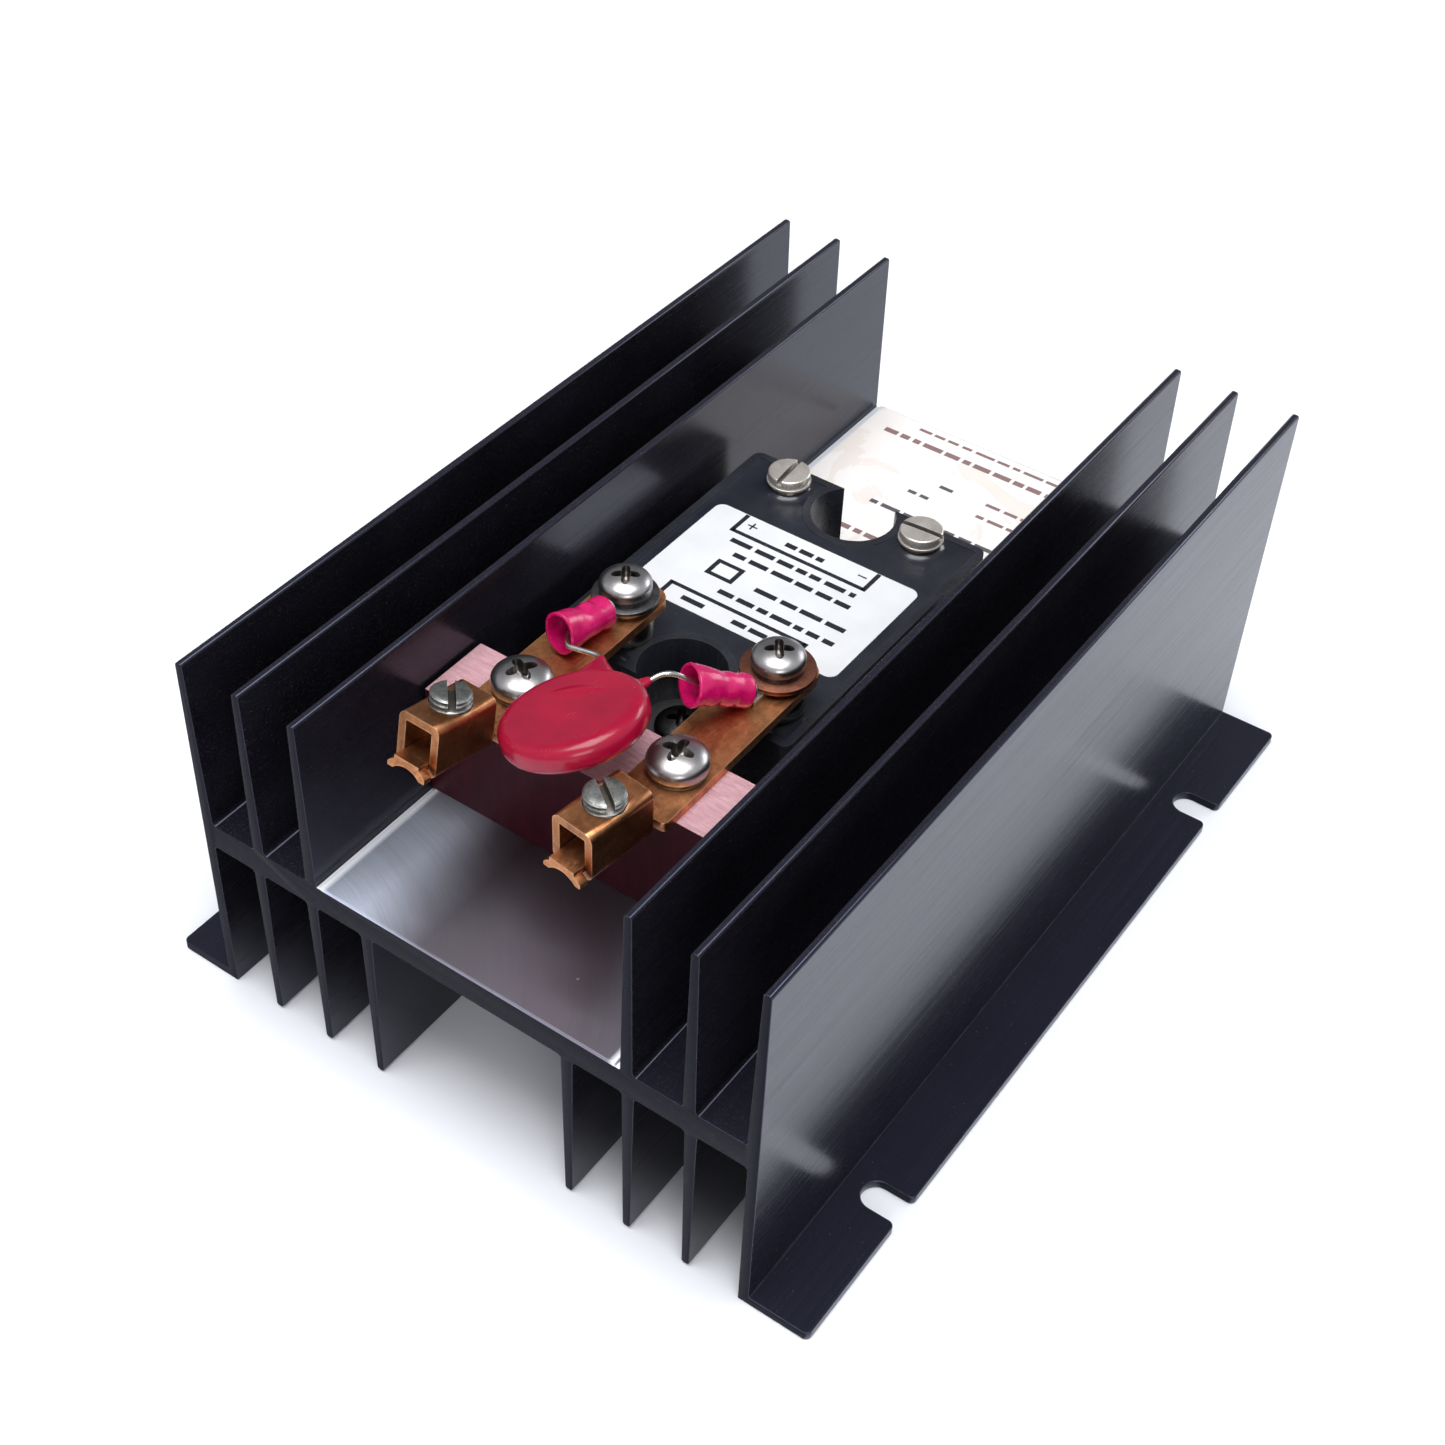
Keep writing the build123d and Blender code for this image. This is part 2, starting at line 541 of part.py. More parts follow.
# ---------------------------------------------------------------- write every piece
def all_pieces():
    pieces = {
        "heatsink": heatsink(),
        "thermal_pad": slab(baseplate_outline(), FLOOR_TOP, BASEPLATE_BOTTOM),
        "relay_baseplate": slab(baseplate_outline(), BASEPLATE_BOTTOM, BASEPLATE_TOP),
        "relay_case": relay_case(),
        "relay_potting": relay_potting(),
        "ceramic_substrate": ceramic_substrate(),
        "copper_pads": copper_pads(),
        "thyristor_chips": thyristor_chips(),
        "gate_leads": gate_leads(),
        "control_board": control_board(),
        "optocoupler": optocoupler(),
        "board_resistors": board_resistors(),
        "board_capacitor": board_capacitor(),
        "relay_label": relay_label(),
        "heatsink_sticker": heatsink_sticker(),
        "relay_mounting_screw": relay_mounting_screw(),
        "insulator_block": insulator_block(),
        "block_fixing_screws": block_fixing_screws(),
        "varistor_disc": varistor_disc(),
    }
    for side in ("left", "right"):
        x = OUTPUT_X[side]
        input_x = INPUT_X[side]
        flat_height = OUTPUT_FLAT_TOP - RING_TOP
        flat = washer(x, OUTPUT_Y, RING_TOP, flat_height, OUTPUT_FLAT_RADIUS[side], NO8_RADIUS + 0.2)
        lock = (OUTPUT_FLAT_TOP, LOCK_WASHER_THICKNESS, 4.0, NO8_RADIUS + 0.2, 150)
        block_lock = (STRAP_TOP, LOCK_WASHER_THICKNESS, 4.4, NO10_RADIUS + 0.2, 200)
        input_flat = (INPUT_POST_TOP, INPUT_WASHER_THICKNESS, 3.7, NO6_RADIUS + 0.2)
        output_shank = (NO8_RADIUS, 8.2, OUTPUT_TURN[side])
        block_shank = (NO10_RADIUS, 12.0, BLOCK_TURN[side])
        pieces["output_lead_" + side] = output_lead(side)
        pieces["output_post_" + side] = output_post(side)
        pieces["input_post_" + side] = input_post(side)
        pieces["strap_" + side] = strap(side)
        pieces["lug_collar_" + side] = lug_collar(side)
        pieces["lug_screw_" + side] = lug_screw(side)
        pieces["varistor_lead_" + side] = varistor_lead(side)
        pieces["ring_terminal_" + side] = ring_terminal(side)
        pieces["crimp_sleeve_" + side] = crimp_sleeve(side)
        pieces["output_flat_washer_" + side] = flat
        pieces["output_lock_washer_" + side] = lock_washer(x, OUTPUT_Y, *lock)
        pieces["output_screw_" + side] = pan_screw(x, OUTPUT_Y, OUTPUT_SEAT, "output", *output_shank)
        pieces["block_washer_" + side] = lock_washer(x, BLOCK_SCREW_Y, *block_lock)
        pieces["block_screw_" + side] = pan_screw(x, BLOCK_SCREW_Y, BLOCK_SEAT, "block", *block_shank)
        pieces["input_washer_" + side] = washer(input_x, INPUT_Y, *input_flat)
        pieces["input_screw_" + side] = slotted_head_screw(input_x, INPUT_Y, INPUT_SEAT, INPUT_TURN[side])
    return pieces


os.makedirs("parts", exist_ok=True)
for name, shape in all_pieces().items():
    export_step(shape, f"parts/{name}.step")
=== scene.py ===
import json
import math
import random

import bmesh
import bpy
import numpy
from mathutils import Matrix, Vector, noise


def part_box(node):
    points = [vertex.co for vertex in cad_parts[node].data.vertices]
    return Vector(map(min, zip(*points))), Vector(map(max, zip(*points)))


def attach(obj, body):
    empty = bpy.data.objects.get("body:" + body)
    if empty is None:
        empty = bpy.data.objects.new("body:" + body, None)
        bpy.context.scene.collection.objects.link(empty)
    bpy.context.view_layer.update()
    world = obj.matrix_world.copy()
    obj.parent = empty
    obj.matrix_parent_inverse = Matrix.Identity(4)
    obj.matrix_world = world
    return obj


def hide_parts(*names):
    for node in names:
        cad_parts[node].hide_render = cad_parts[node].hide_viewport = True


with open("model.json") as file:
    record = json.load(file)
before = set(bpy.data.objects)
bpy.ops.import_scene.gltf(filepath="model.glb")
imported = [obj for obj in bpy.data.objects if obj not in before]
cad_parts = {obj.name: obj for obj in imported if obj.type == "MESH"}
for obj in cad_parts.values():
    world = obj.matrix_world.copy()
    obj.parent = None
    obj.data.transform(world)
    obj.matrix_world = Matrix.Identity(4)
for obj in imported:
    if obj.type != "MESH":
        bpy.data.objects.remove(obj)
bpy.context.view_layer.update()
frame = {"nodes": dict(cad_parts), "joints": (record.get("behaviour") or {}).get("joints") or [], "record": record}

# A solid state relay on a finned heatsink. Shapes below are in millimetres and turned into metres as
# each mesh is made. A piece's object sits at the origin, so its texture coordinates are the part's own.
MM = 0.001
SIDES = ("left", "right")

# ---- screws: thread pitches, shank radii and how far each head is turned from +X, in degrees
PITCH_8_32 = 0.794
PITCH_LUG = 0.907
NO6_RADIUS = 1.72
NO8_RADIUS = 2.05
NO10_RADIUS = 2.4
OUTPUT_TURN = {"left": 34, "right": 36}
BLOCK_TURN = {"left": 63, "right": 5}
INPUT_TURN = {"left": 94, "right": 4}
LUG_TURN = {"left": -48, "right": -36}
RECESS_REACH = 0.56  # of the head's radius
RECESS_DEPTH = 0.78  # of the head's height
ARM_SHARPNESS = 1.7  # a higher power gives a recess narrower arms
THREAD_NO8 = 0.24  # thread depths
THREAD_NO6 = 0.2
THREAD_LUG = 0.42
FIXING_HEAD_RADIUS = 4.1
FIXING_HEAD_HEIGHT = 2.6
INPUT_SLOT = (0.9, 0.95)  # width and depth
CLAMP_SLOT = (1.15, 1.7)
CLAMP_LENGTH = 4.76
CLAMP_RADIUS = 3.05

# ---- heatsink: where its floor is bare, how the floor is worked, and where the outer fins' faces start
FLOOR_EDGE = 27.35
FLOOR_HEIGHTS = (35.46, 36.05)
CUTTER_CENTRE = (-34.0, -104.0, 36.0)
# x span over which the left of the floor is dull from scouring and keeps its lighter colour; to its right the
# floor carries a painted darker reflection
SCOURED_AND_LIT = (-8.0, -19.0)
BRIGHT_STRIP = (25.4, 26.2)
OUTER_FIN = 49.8

# ---- relay
CASE_WALL = 1.3
NOTCH_RADIUS = 7.0
POTTING_TOP = 51.6
OUTPUT_STEM = 3.4  # radius of an output post in the potting
WALL_CLIMB, WALL_FADE = 0.2, 0.5  # how high the potting climbs, and over what distance that fades
OUTPUT_CLIMB, INPUT_CLIMB, POST_FADE = 0.5, 0.7, 0.62
POTTING_DIP = 0.06

# ---- varistor: where each lead leaves the rim, and where the coating that climbs it ends
LEAD_ROOT = {"left": (-4.0, -41.6, 62.3), "right": (2.2, -41.2, 64.6)}
COATING_TIP = {"left": (-7.0, -34.9, 61.7), "right": (3.9, -37.9, 65.6)}
BEAK = {"left": (9.0, 2.1, 4.5, 1.2), "right": (3.2, 1.2, 2.2, 1.5)}  # half widths, inset and curve
LEAD_BENDS = {
    "left": ((-4.6, -40.6, 61.9), (-7.5, -34.6, 61.6), (-13.1, -35.5, 61.2)),
    "right": ((3.2, -40.2, 64.9), (4.4, -36.8, 66.0), (5.9, -35.2, 66.0)),
}
LEAD_BEND_REACH = {"left": 1.0, "right": 1.9}
LEAD_RADIUS = 0.4
BEAK_TIP = 0.62  # radius of the coating where it ends

# ---- sleeves
SLEEVE_OVERLAP = 0.3
SLEEVE_WALL = 0.5
SLEEVE_SQUEEZE = {"left": 0.3, "right": 1.2}  # which way each is crimped, in radians
BARREL_LENGTH, BARREL_RADIUS = 4.8, 2.6
MOUTH_FLARE, MOUTH_OVAL = 0.55, 0.09
DENTS = ((2.2, 0.17), (4.9, 0.13))  # where along the barrel, and how deep as a share of its radius
SLEEVE_BORE = 1.3  # never narrower than this

# ---- camera
CAMERA_AZIMUTH = 34.54
CAMERA_ELEVATION = 43.0
CAMERA_ROLL = 1.87
CAMERA_PLACE = (0.13704, -0.22325, 0.27049)
CAMERA_LENS = 54.7
CAMERA_SHIFT = (0.02776, -0.00051)


# ======== where things are, from the frame
def box_mm(node):
    """Lowest and highest corner of a CAD node, in millimetres."""
    low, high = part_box(node)
    return low / MM, high / MM


def middle(node):
    low, high = box_mm(node)
    return (low + high) / 2


def top(node):
    return box_mm(node)[1].z


def half_width(node):
    low, high = box_mm(node)
    return (high.x - low.x) / 2


def long_axes(node):
    """A CAD node's middle, its axes in order of spread and its length along the first, from its vertices."""
    points = numpy.array([v.co for v in frame["nodes"][node].data.vertices], float) / MM
    points = numpy.unique(points.round(3), axis=0)
    centre = points.mean(0)
    axes = numpy.linalg.svd(points - centre, full_matrices=False)[2]
    reach = (points - centre) @ axes[0]
    centre = centre + axes[0] * (reach.min() + reach.max()) / 2
    return Vector(centre), [Vector(axis) for axis in axes], float(reach.max() - reach.min())


def turned_frame(origin, z_axis, x_hint):
    """A matrix whose z is z_axis and whose x leans towards x_hint."""
    z = Vector(z_axis).normalized()
    x = Vector(x_hint)
    x = (x - z * x.dot(z)).normalized()
    matrix = Matrix((x, z.cross(x), z)).transposed().to_4x4()
    matrix.translation = origin
    return matrix


# ======== meshes
def in_scene(name, data):
    """A new object in the scene."""
    obj = bpy.data.objects.new(name, data)
    bpy.context.scene.collection.objects.link(obj)
    return obj


def make(name, vertices, faces, matrix=None):
    """A new mesh object from points in millimetres."""
    if matrix is not None:
        vertices = [matrix @ Vector(v) for v in vertices]
    mesh = bpy.data.meshes.new(name)
    mesh.from_pydata([Vector(v) * MM for v in vertices], [], faces)
    return in_scene(name, mesh)


def tidy(obj, sharp=35):
    """Welds, turns the faces outwards, and shades smooth except over sharp edges."""
    work = bmesh.new()
    work.from_mesh(obj.data)
    bmesh.ops.remove_doubles(work, verts=work.verts, dist=0.002 * MM)
    bmesh.ops.recalc_face_normals(work, faces=work.faces)
    for face in work.faces:
        face.smooth = True
    for edge in work.edges:
        edge.smooth = len(edge.link_faces) == 2 and edge.calc_face_angle(0) < math.radians(sharp)
    work.to_mesh(obj.data)
    work.free()
    return obj


def applied(obj):
    """Turns the object's modifiers into its mesh."""
    shown = obj.evaluated_get(bpy.context.evaluated_depsgraph_get())
    mesh = bpy.data.meshes.new_from_object(shown)
    obj.modifiers.clear()
    obj.data = mesh
    return obj


def cut(obj, cutter):
    """Takes cutter out of obj and throws the cutter away."""
    step = obj.modifiers.new("cut", "BOOLEAN")
    step.object = cutter
    step.solver = "EXACT"
    bpy.context.view_layer.update()
    applied(obj)
    bpy.data.objects.remove(cutter)


def rounded(obj, width):
    """Adds a modifier that rounds the sharp edges by width."""
    step = obj.modifiers.new("corners", "BEVEL")
    step.width = width * MM
    step.segments = 2
    step.limit_method = "ANGLE"
    step.angle_limit = math.radians(38)
    return step


def join(name, objects):
    """One object from several, each keeping its own closed shell."""
    work = bmesh.new()
    for obj in objects:
        work.from_mesh(obj.data)
    mesh = bpy.data.meshes.new(name)
    work.to_mesh(mesh)
    work.free()
    for obj in objects:
        bpy.data.objects.remove(obj)
    return in_scene(name, mesh)


def dress(obj, finish, body):
    """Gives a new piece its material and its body."""
    obj.data.materials.clear()
    obj.data.materials.append(finish)
    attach(obj, body)


def stand_in(obj, node):
    """Puts a new piece in the place of a CAD node, with that node's finish, body and slot."""
    dress(obj, FINISH[NODE_SLOT[node]], NODE_BODY[node])
    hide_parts(node)


def circle(count):
    """The angles of count even steps round a circle."""
    return [2 * math.pi * k / count for k in range(count)]


def loft(name, rings, matrix=None, closed=False):
    """A solid through rings of points: capped at its ends, or closed from its last ring to its first."""
    vertices, rows = [], []
    for ring in rings:
        rows.append(list(range(len(vertices), len(vertices) + len(ring))))
        vertices += ring
    faces = bridge(rows, closed)
    if not closed:
        faces += [tuple(rows[0])[::-1], tuple(rows[-1])]
    return make(name, vertices, faces, matrix)


def lathe(name, profile, matrix=None, segments=72, pitch=0.0):
    """A closed solid of revolution. The profile holds (radius, height, thread depth) from axis to axis;
    a depth above 0 cuts a helical groove of this pitch."""
    vertices, rows = [], []
    for radius, height, depth in profile:
        if radius < 1e-6:
            rows.append([len(vertices)])
            vertices.append((0, 0, height))
            continue
        rows.append(list(range(len(vertices), len(vertices) + segments)))
        for angle in circle(segments):
            reach = radius
            if depth:
                phase = (height / pitch - angle / (2 * math.pi)) % 1.0
                reach -= depth * min(1.0, max(0.0, 1.6 * abs(2 * phase - 1) - 0.25))
            vertices.append((reach * math.cos(angle), reach * math.sin(angle), height))
    return make(name, vertices, bridge(rows), matrix)


def bridge(rows, closed=False):
    """Faces between neighbouring rings of vertices; a ring of one vertex is a pole."""
    faces = []
    pairs = list(zip(rows, rows[1:]))
    if closed:
        pairs.append((rows[-1], rows[0]))
    for low, high in pairs:
        count = max(len(low), len(high))
        for k in range(count):
            following = (k + 1) % count
            corners = [low[k % len(low)], low[following % len(low)]]
            corners += [high[following % len(high)], high[k % len(high)]]
            faces.append(tuple(dict.fromkeys(corners)))
    return faces


# ======== materials
class Finish:
    """One material's node graph. Its lengths are millimetres in the part's own frame."""

    def __init__(self, name, metallic=0.0):
        self.material = bpy.data.materials.new(name)
        self.material.use_nodes = True
        self.nodes = self.material.node_tree.nodes
        self.links = self.material.node_tree.links
        self.surface = self.nodes["Principled BSDF"]
        self.height = None
        self.set("Metallic", metallic)
        self.place = self.vector("SCALE", self.node("TexCoord").outputs["Object"], scale=1 / MM)

    def fill(self, target, value):
        if isinstance(value, bpy.types.NodeSocket):
            self.links.new(value, target)
        elif isinstance(value, tuple) and len(value) == 3 and target.type == "RGBA":
            target.default_value = (*value, 1.0)
        else:
            target.default_value = value

    def set(self, name, value):
        self.fill(self.surface.inputs[name], value)

    def node(self, kind, inputs=None, **settings):
        made = self.nodes.new("ShaderNode" + kind)
        for name, value in settings.items():
            setattr(made, name, value)
        for name, value in (inputs or {}).items():
            self.fill(made.inputs[name], value)
        return made

    def vector(self, operation, a, b=None, scale=None):
        made = self.node("VectorMath", {0: a}, operation=operation)
        if b is not None:
            self.fill(made.inputs[1], b)
        if scale is not None:
            made.inputs["Scale"].default_value = scale
        return made.outputs["Value" if operation in ("LENGTH", "DOT_PRODUCT") else "Vector"]

    def maths(self, operation, a, b=0.0):
        return self.node("Math", {0: a, 1: b}, operation=operation).outputs[0]

    def times(self, a, b):
        return self.maths("MULTIPLY", a, b)

    def plus(self, a, b):
        return self.maths("ADD", a, b)

    def part(self, axis, vector=None):
        return self.node("SeparateXYZ", {0: vector or self.place}).outputs[axis]

    def noise(self, per_mm, detail=3.0, rough=0.55, stretch=(1, 1, 1), place=None, warp=0.0):
        """Noise from 0 to 1 with per_mm features in a millimetre."""
        where = self.vector("MULTIPLY", place or self.place, stretch)
        inputs = {"Vector": where, "Scale": per_mm, "Detail": detail, "Roughness": rough, "Distortion": warp}
        return self.node("TexNoise", inputs).outputs["Fac"]

    def between(self, value, low, high, to_low=0.0, to_high=1.0):
        """value, stretched so that low..high becomes to_low..to_high, and clamped."""
        inputs = {"Value": value, "From Min": low, "From Max": high, "To Min": to_low, "To Max": to_high}
        return self.node("MapRange", inputs, clamp=True).outputs[0]

    def mix(self, share, a, b):
        made = self.node("Mix", data_type="RGBA")
        self.fill(made.inputs["Factor"], share)
        self.fill(made.inputs[6], a)
        self.fill(made.inputs[7], b)
        return made.outputs[2]

    def layered(self, tone, *layers):
        """tone under layers of (mask, share, tint)."""
        for mask, share, tint in layers:
            tone = self.mix(self.times(mask, share), tone, tint)
        return tone

    def cloudy(self, value, a, b):
        """From a to b over the middle of a noise."""
        return self.mix(self.between(value, 0.3, 0.7), a, b)

    def specks(self, per_mm, share, size):
        """Scattered round specks: share of the cells hold one, each up to size of its cell."""
        cells = self.node("TexVoronoi", {"Vector": self.place, "Scale": per_mm})
        chosen = self.maths("LESS_THAN", self.part(0, cells.outputs["Color"]), share)
        near = self.between(cells.outputs["Distance"], size, size * 0.5)
        return self.times(chosen, near)

    def edges(self, radius, low=0.02, high=0.25):
        """1 on convex and concave edges, fading out over radius."""
        rounded = self.node("Bevel", {"Radius": radius * MM}, samples=4).outputs[0]
        plain = self.node("NewGeometry").outputs["Normal"]
        same = self.vector("DOT_PRODUCT", rounded, plain)
        return self.between(same, 1 - low, 1 - high)

    def hollows(self, radius):
        """1 deep inside recesses and slots narrower than about twice the radius."""
        shade = self.node("AmbientOcclusion", {"Distance": radius * MM}, samples=6, only_local=True)
        return self.between(shade.outputs["AO"], 0.86, 0.5)

    def normal_part(self, axis):
        """How far the face looks along an axis, as a share from 0 to 1, either way."""
        return self.maths("ABSOLUTE", self.part(axis, self.node("TexCoord").outputs["Normal"]))

    def glow(self, weight, radius):
        """Light that spreads under the surface."""
        self.set("Subsurface Weight", weight)
        self.set("Subsurface Radius", radius)
        self.set("Subsurface Scale", 0.3)

    def bump(self, height, depth):
        """Adds a relief of this depth in millimetres on top of what is there."""
        inputs = {"Height": height, "Distance": depth * MM}
        if self.height is not None:
            inputs["Normal"] = self.height
        self.height = self.node("Bump", inputs).outputs[0]
        self.set("Normal", self.height)


def black_film(f, x, ends, level):
    """Black anodising with extrusion lines, grit, dust and rubbed edges, and a painted sheen on the faces that
    look up or down: its colour, roughness and relief.
    """
    lines = f.noise(2.4, 6.0, 0.72, stretch=(1.0, 0.008, 1.0))
    grit = f.times(f.between(f.noise(5.0, 3.0, 0.7), 0.56, 0.72), f.maths("LESS_THAN", x, OUTER_FIN))
    patches = f.noise(0.06, 3.0, 0.55)
    dust = f.specks(1.1, 0.16, 0.12)
    fine_dust = f.between(f.noise(2.4, 5.0, 0.75), 0.6, 0.85)
    wear = f.times(f.edges(0.3), f.between(f.noise(0.5, 4.0), 0.4, 0.62))
    colour = f.layered(
        f.cloudy(patches, (0.0036, 0.0036, 0.0068), (0.0075, 0.0075, 0.0125)),
        (ends, 0.9, (0.008, 0.008, 0.0135)),
        # painted sheen: faces looking up or down are painted lighter and bluer, as if lit from above
        (level, 0.6, (0.013, 0.013, 0.023)),
        (fine_dust, 0.12, (0.13, 0.1, 0.075)),
        (grit, 0.3, (0.17, 0.12, 0.07)),
        (dust, 0.22, (0.3, 0.26, 0.22)),
        (wear, 0.45, (0.12, 0.12, 0.16)))
    rough = f.between(lines, 0.3, 0.7, 0.17, 0.3)
    rough = f.plus(rough, f.times(ends, 0.3))
    rough = f.plus(rough, f.times(fine_dust, 0.2))
    return colour, rough, f.plus(f.times(lines, 0.7), f.times(dust, 0.6))


def milled_floor(f, x, from_centre):
    """Bare aluminium with the arcs of a wide cutter, dull from scouring on the left, and a bright strip along
    each side: its colour, roughness and relief. Its blue tint is a painted reflection, and away from the
    left the metal is painted darker and purplish, a painted reflection of the maroon block."""
    away = f.vector("LENGTH", from_centre)
    around = f.maths("ARCTAN2", f.part(1, from_centre), f.part(0, from_centre))
    arcs = f.node("CombineXYZ", {0: away, 1: f.times(around, 9.0)}).outputs[0]
    swirl = f.noise(4.0, 6.0, 0.72, stretch=(1.0, 0.1, 1.0), place=arcs)
    coarse = f.noise(0.3, 3.0, 0.6, stretch=(1.0, 0.22, 1.0), place=arcs)
    fan = f.between(f.noise(1.0, 2.0, 0.4, stretch=(0.012, 0.5, 1.0), place=arcs), 0.54, 0.7)
    scoured_and_lit = f.between(f.part(0), *SCOURED_AND_LIT)
    strip = f.between(x, *BRIGHT_STRIP)
    # painted reflection: the blue tint of the bare metal
    colour = f.mix(f.between(swirl, 0.25, 0.75), (0.56, 0.62, 0.78), (0.8, 0.87, 1.0))
    colour = f.mix(f.between(coarse, 0.35, 0.7, 0.0, 0.5), colour, (0.52, 0.55, 0.64))
    # painted reflection: away from the scouring on the left, the floor is painted darker and purplish, standing in
    # for the maroon block it reflects
    colour = f.mix(f.between(scoured_and_lit, 0.0, 1.0, 0.8, 0.16), colour, (0.15, 0.12, 0.15))
    colour = f.layered(colour, (f.specks(0.16, 0.25, 0.05), 0.5, (0.9, 0.9, 0.92)))
    colour = f.mix(strip, colour, (0.86, 0.88, 0.92))
    rough = f.between(swirl, 0.25, 0.8, 0.34, 0.285)
    rough = f.plus(rough, f.times(f.maths("MAXIMUM", fan, scoured_and_lit), 0.14))
    rough = f.plus(rough, f.times(strip, 0.3))
    return colour, rough, f.times(swirl, 0.4)


def anodised_aluminium():
    """Black anodising everywhere except on the bare milled floor of the channel."""
    f = Finish("black_anodised_aluminium")
    x = f.maths("ABSOLUTE", f.part(0))
    z = f.part(2)
    low, high = FLOOR_HEIGHTS
    on_floor = f.times(f.maths("LESS_THAN", x, FLOOR_EDGE), f.maths("GREATER_THAN", z, low))
    on_floor = f.times(on_floor, f.maths("LESS_THAN", z, high))
    ends = f.between(f.normal_part(1), 0.8, 0.95)
    # the faces looking up or down, which get a painted sheen in black_film
    level = f.between(f.normal_part(2), 0.8, 0.95)
    from_centre = f.vector("SUBTRACT", f.place, CUTTER_CENTRE)
    black, rough_black, relief = black_film(f, x, ends, level)
    bare, rough_bare, floor_relief = milled_floor(f, x, from_centre)
    f.set("Base Color", f.mix(on_floor, black, bare))
    f.set("Metallic", on_floor)
    f.set("Roughness", f.between(on_floor, 0.0, 1.0, rough_black, rough_bare))
    gloss = f.between(f.maths("LESS_THAN", x, OUTER_FIN), 0.0, 1.0, 0.55, 0.44)
    f.set("Specular IOR Level", f.between(ends, 0.0, 1.0, gloss, 0.08))
    f.set("Specular Tint", f.mix(on_floor, (0.66, 0.72, 1.0), (1.0, 1.0, 1.0)))
    f.set("Anisotropic", f.times(on_floor, 0.4))
    f.set("Tangent", f.vector("NORMALIZE", f.vector("CROSS_PRODUCT", from_centre, (0.0, 0.0, 1.0))))
    f.bump(f.plus(relief, f.times(on_floor, floor_relief)), 0.009)
    return f.material


def metal(name, dark, light, roughness, per_mm=0.8, pits=0.004, wear=0.0, hollow_shade=0.0, film=0.0):
    """A metal with cloudy tone and fine pits, rubbed bright on its edges, with painted shade darkening its
    hollows. A pale film over it scatters the film's share of the light."""
    f = Finish(name, 1.0 - film)
    cloud = f.noise(per_mm, 5.0, 0.62)
    tone = f.cloudy(cloud, dark, light)
    if wear:
        tone = f.layered(tone, (f.edges(0.3), wear, tuple(min(1.0, c * 1.5) for c in light)))
    if hollow_shade:
        # painted shade: recesses, slots and crevices found by ambient occlusion are darkened to brown
        tone = f.layered(tone, (f.hollows(1.6), hollow_shade, (0.085, 0.07, 0.055)))
    f.set("Base Color", tone)
    f.set("Roughness", f.between(cloud, 0.25, 0.75, roughness * 1.3, roughness * 0.8))
    f.bump(f.noise(9.0, 4.0, 0.7), pits)
    return f.material


def aged_copper(name, brightness):
    """Copper that has turned brown, rubbed bright along its edges, with a painted highlight along them as well."""
    f = Finish(name, 1.0)
    cloud = f.noise(0.28, 5.0, 0.62, warp=0.6)
    fine = f.noise(1.6, 5.0, 0.7)
    lines = f.noise(5.0, 3.0, 0.6, stretch=(1.0, 0.08, 1.0))
    stain = f.between(f.noise(0.55, 6.0, 0.7, warp=1.2), 0.52, 0.72)
    brown, orange = [tuple(brightness * c for c in tone) for tone in ((0.3, 0.118, 0.047), (0.68, 0.3, 0.13))]
    tone = f.mix(f.between(fine, 0.35, 0.75, 0.0, 0.5), f.cloudy(cloud, brown, orange), (0.2, 0.09, 0.05))
    f.set("Base Color", f.layered(
        tone,
        (stain, 0.6, (0.13, 0.055, 0.035)),
        # bright edges: partly rubbed wear, partly a painted edge highlight
        (f.edges(0.45), 0.7, (0.85, 0.5, 0.27)),
        (f.between(lines, 0.62, 0.72), 0.35, (0.8, 0.45, 0.24))))
    f.set("Roughness", f.plus(f.between(lines, 0.2, 0.8, 0.3, 0.42), f.times(stain, 0.18)))
    f.bump(lines, 0.01)
    f.bump(fine, 0.012)
    return f.material


def moulded_plastic():
    """Black moulded plastic: fine texture, faint flow marks and lighter edges."""
    f = Finish("moulded_black")
    flow = f.noise(0.09, 3.0, 0.5, warp=1.0)
    f.set("Base Color", f.layered(
        f.cloudy(flow, (0.011, 0.012, 0.017), (0.0227, 0.0244, 0.0329)),
        (f.edges(0.25), 0.4, (0.053, 0.056, 0.071)),
        (f.specks(0.8, 0.2, 0.1), 0.25, (0.35, 0.34, 0.33))))
    f.set("Roughness", f.between(f.noise(1.5, 4.0), 0.3, 0.7, 0.255, 0.36))
    f.bump(f.noise(6.0, 3.0), 0.006)
    return f.material


def potting_compound():
    """Poured black resin: glossy, gently uneven, with dust on it."""
    f = Finish("potting_compound")
    haze = f.noise(0.12, 4.0, 0.6)
    f.set("Base Color", f.layered(
        f.cloudy(haze, (0.01, 0.011, 0.017), (0.02, 0.022, 0.032)),
        (f.specks(0.9, 0.3, 0.07), 0.4, (0.5, 0.48, 0.46))))
    f.set("Roughness", f.between(haze, 0.3, 0.7, 0.14, 0.24))
    f.bump(f.noise(0.5, 2.0), 0.02)
    f.bump(f.noise(5.0, 3.0), 0.0015)
    return f.material


def label_film():
    f = Finish("white_label")
    haze = f.between(f.noise(0.15, 4.0), 0.35, 0.7)
    f.set("Base Color", f.mix(haze, (0.69, 0.7, 0.72), (0.63, 0.64, 0.66)))
    f.set("Roughness", f.between(f.noise(2.0, 3.0), 0.3, 0.7, 0.36, 0.48))
    f.bump(f.noise(0.6, 3.0), 0.012)
    return f.material


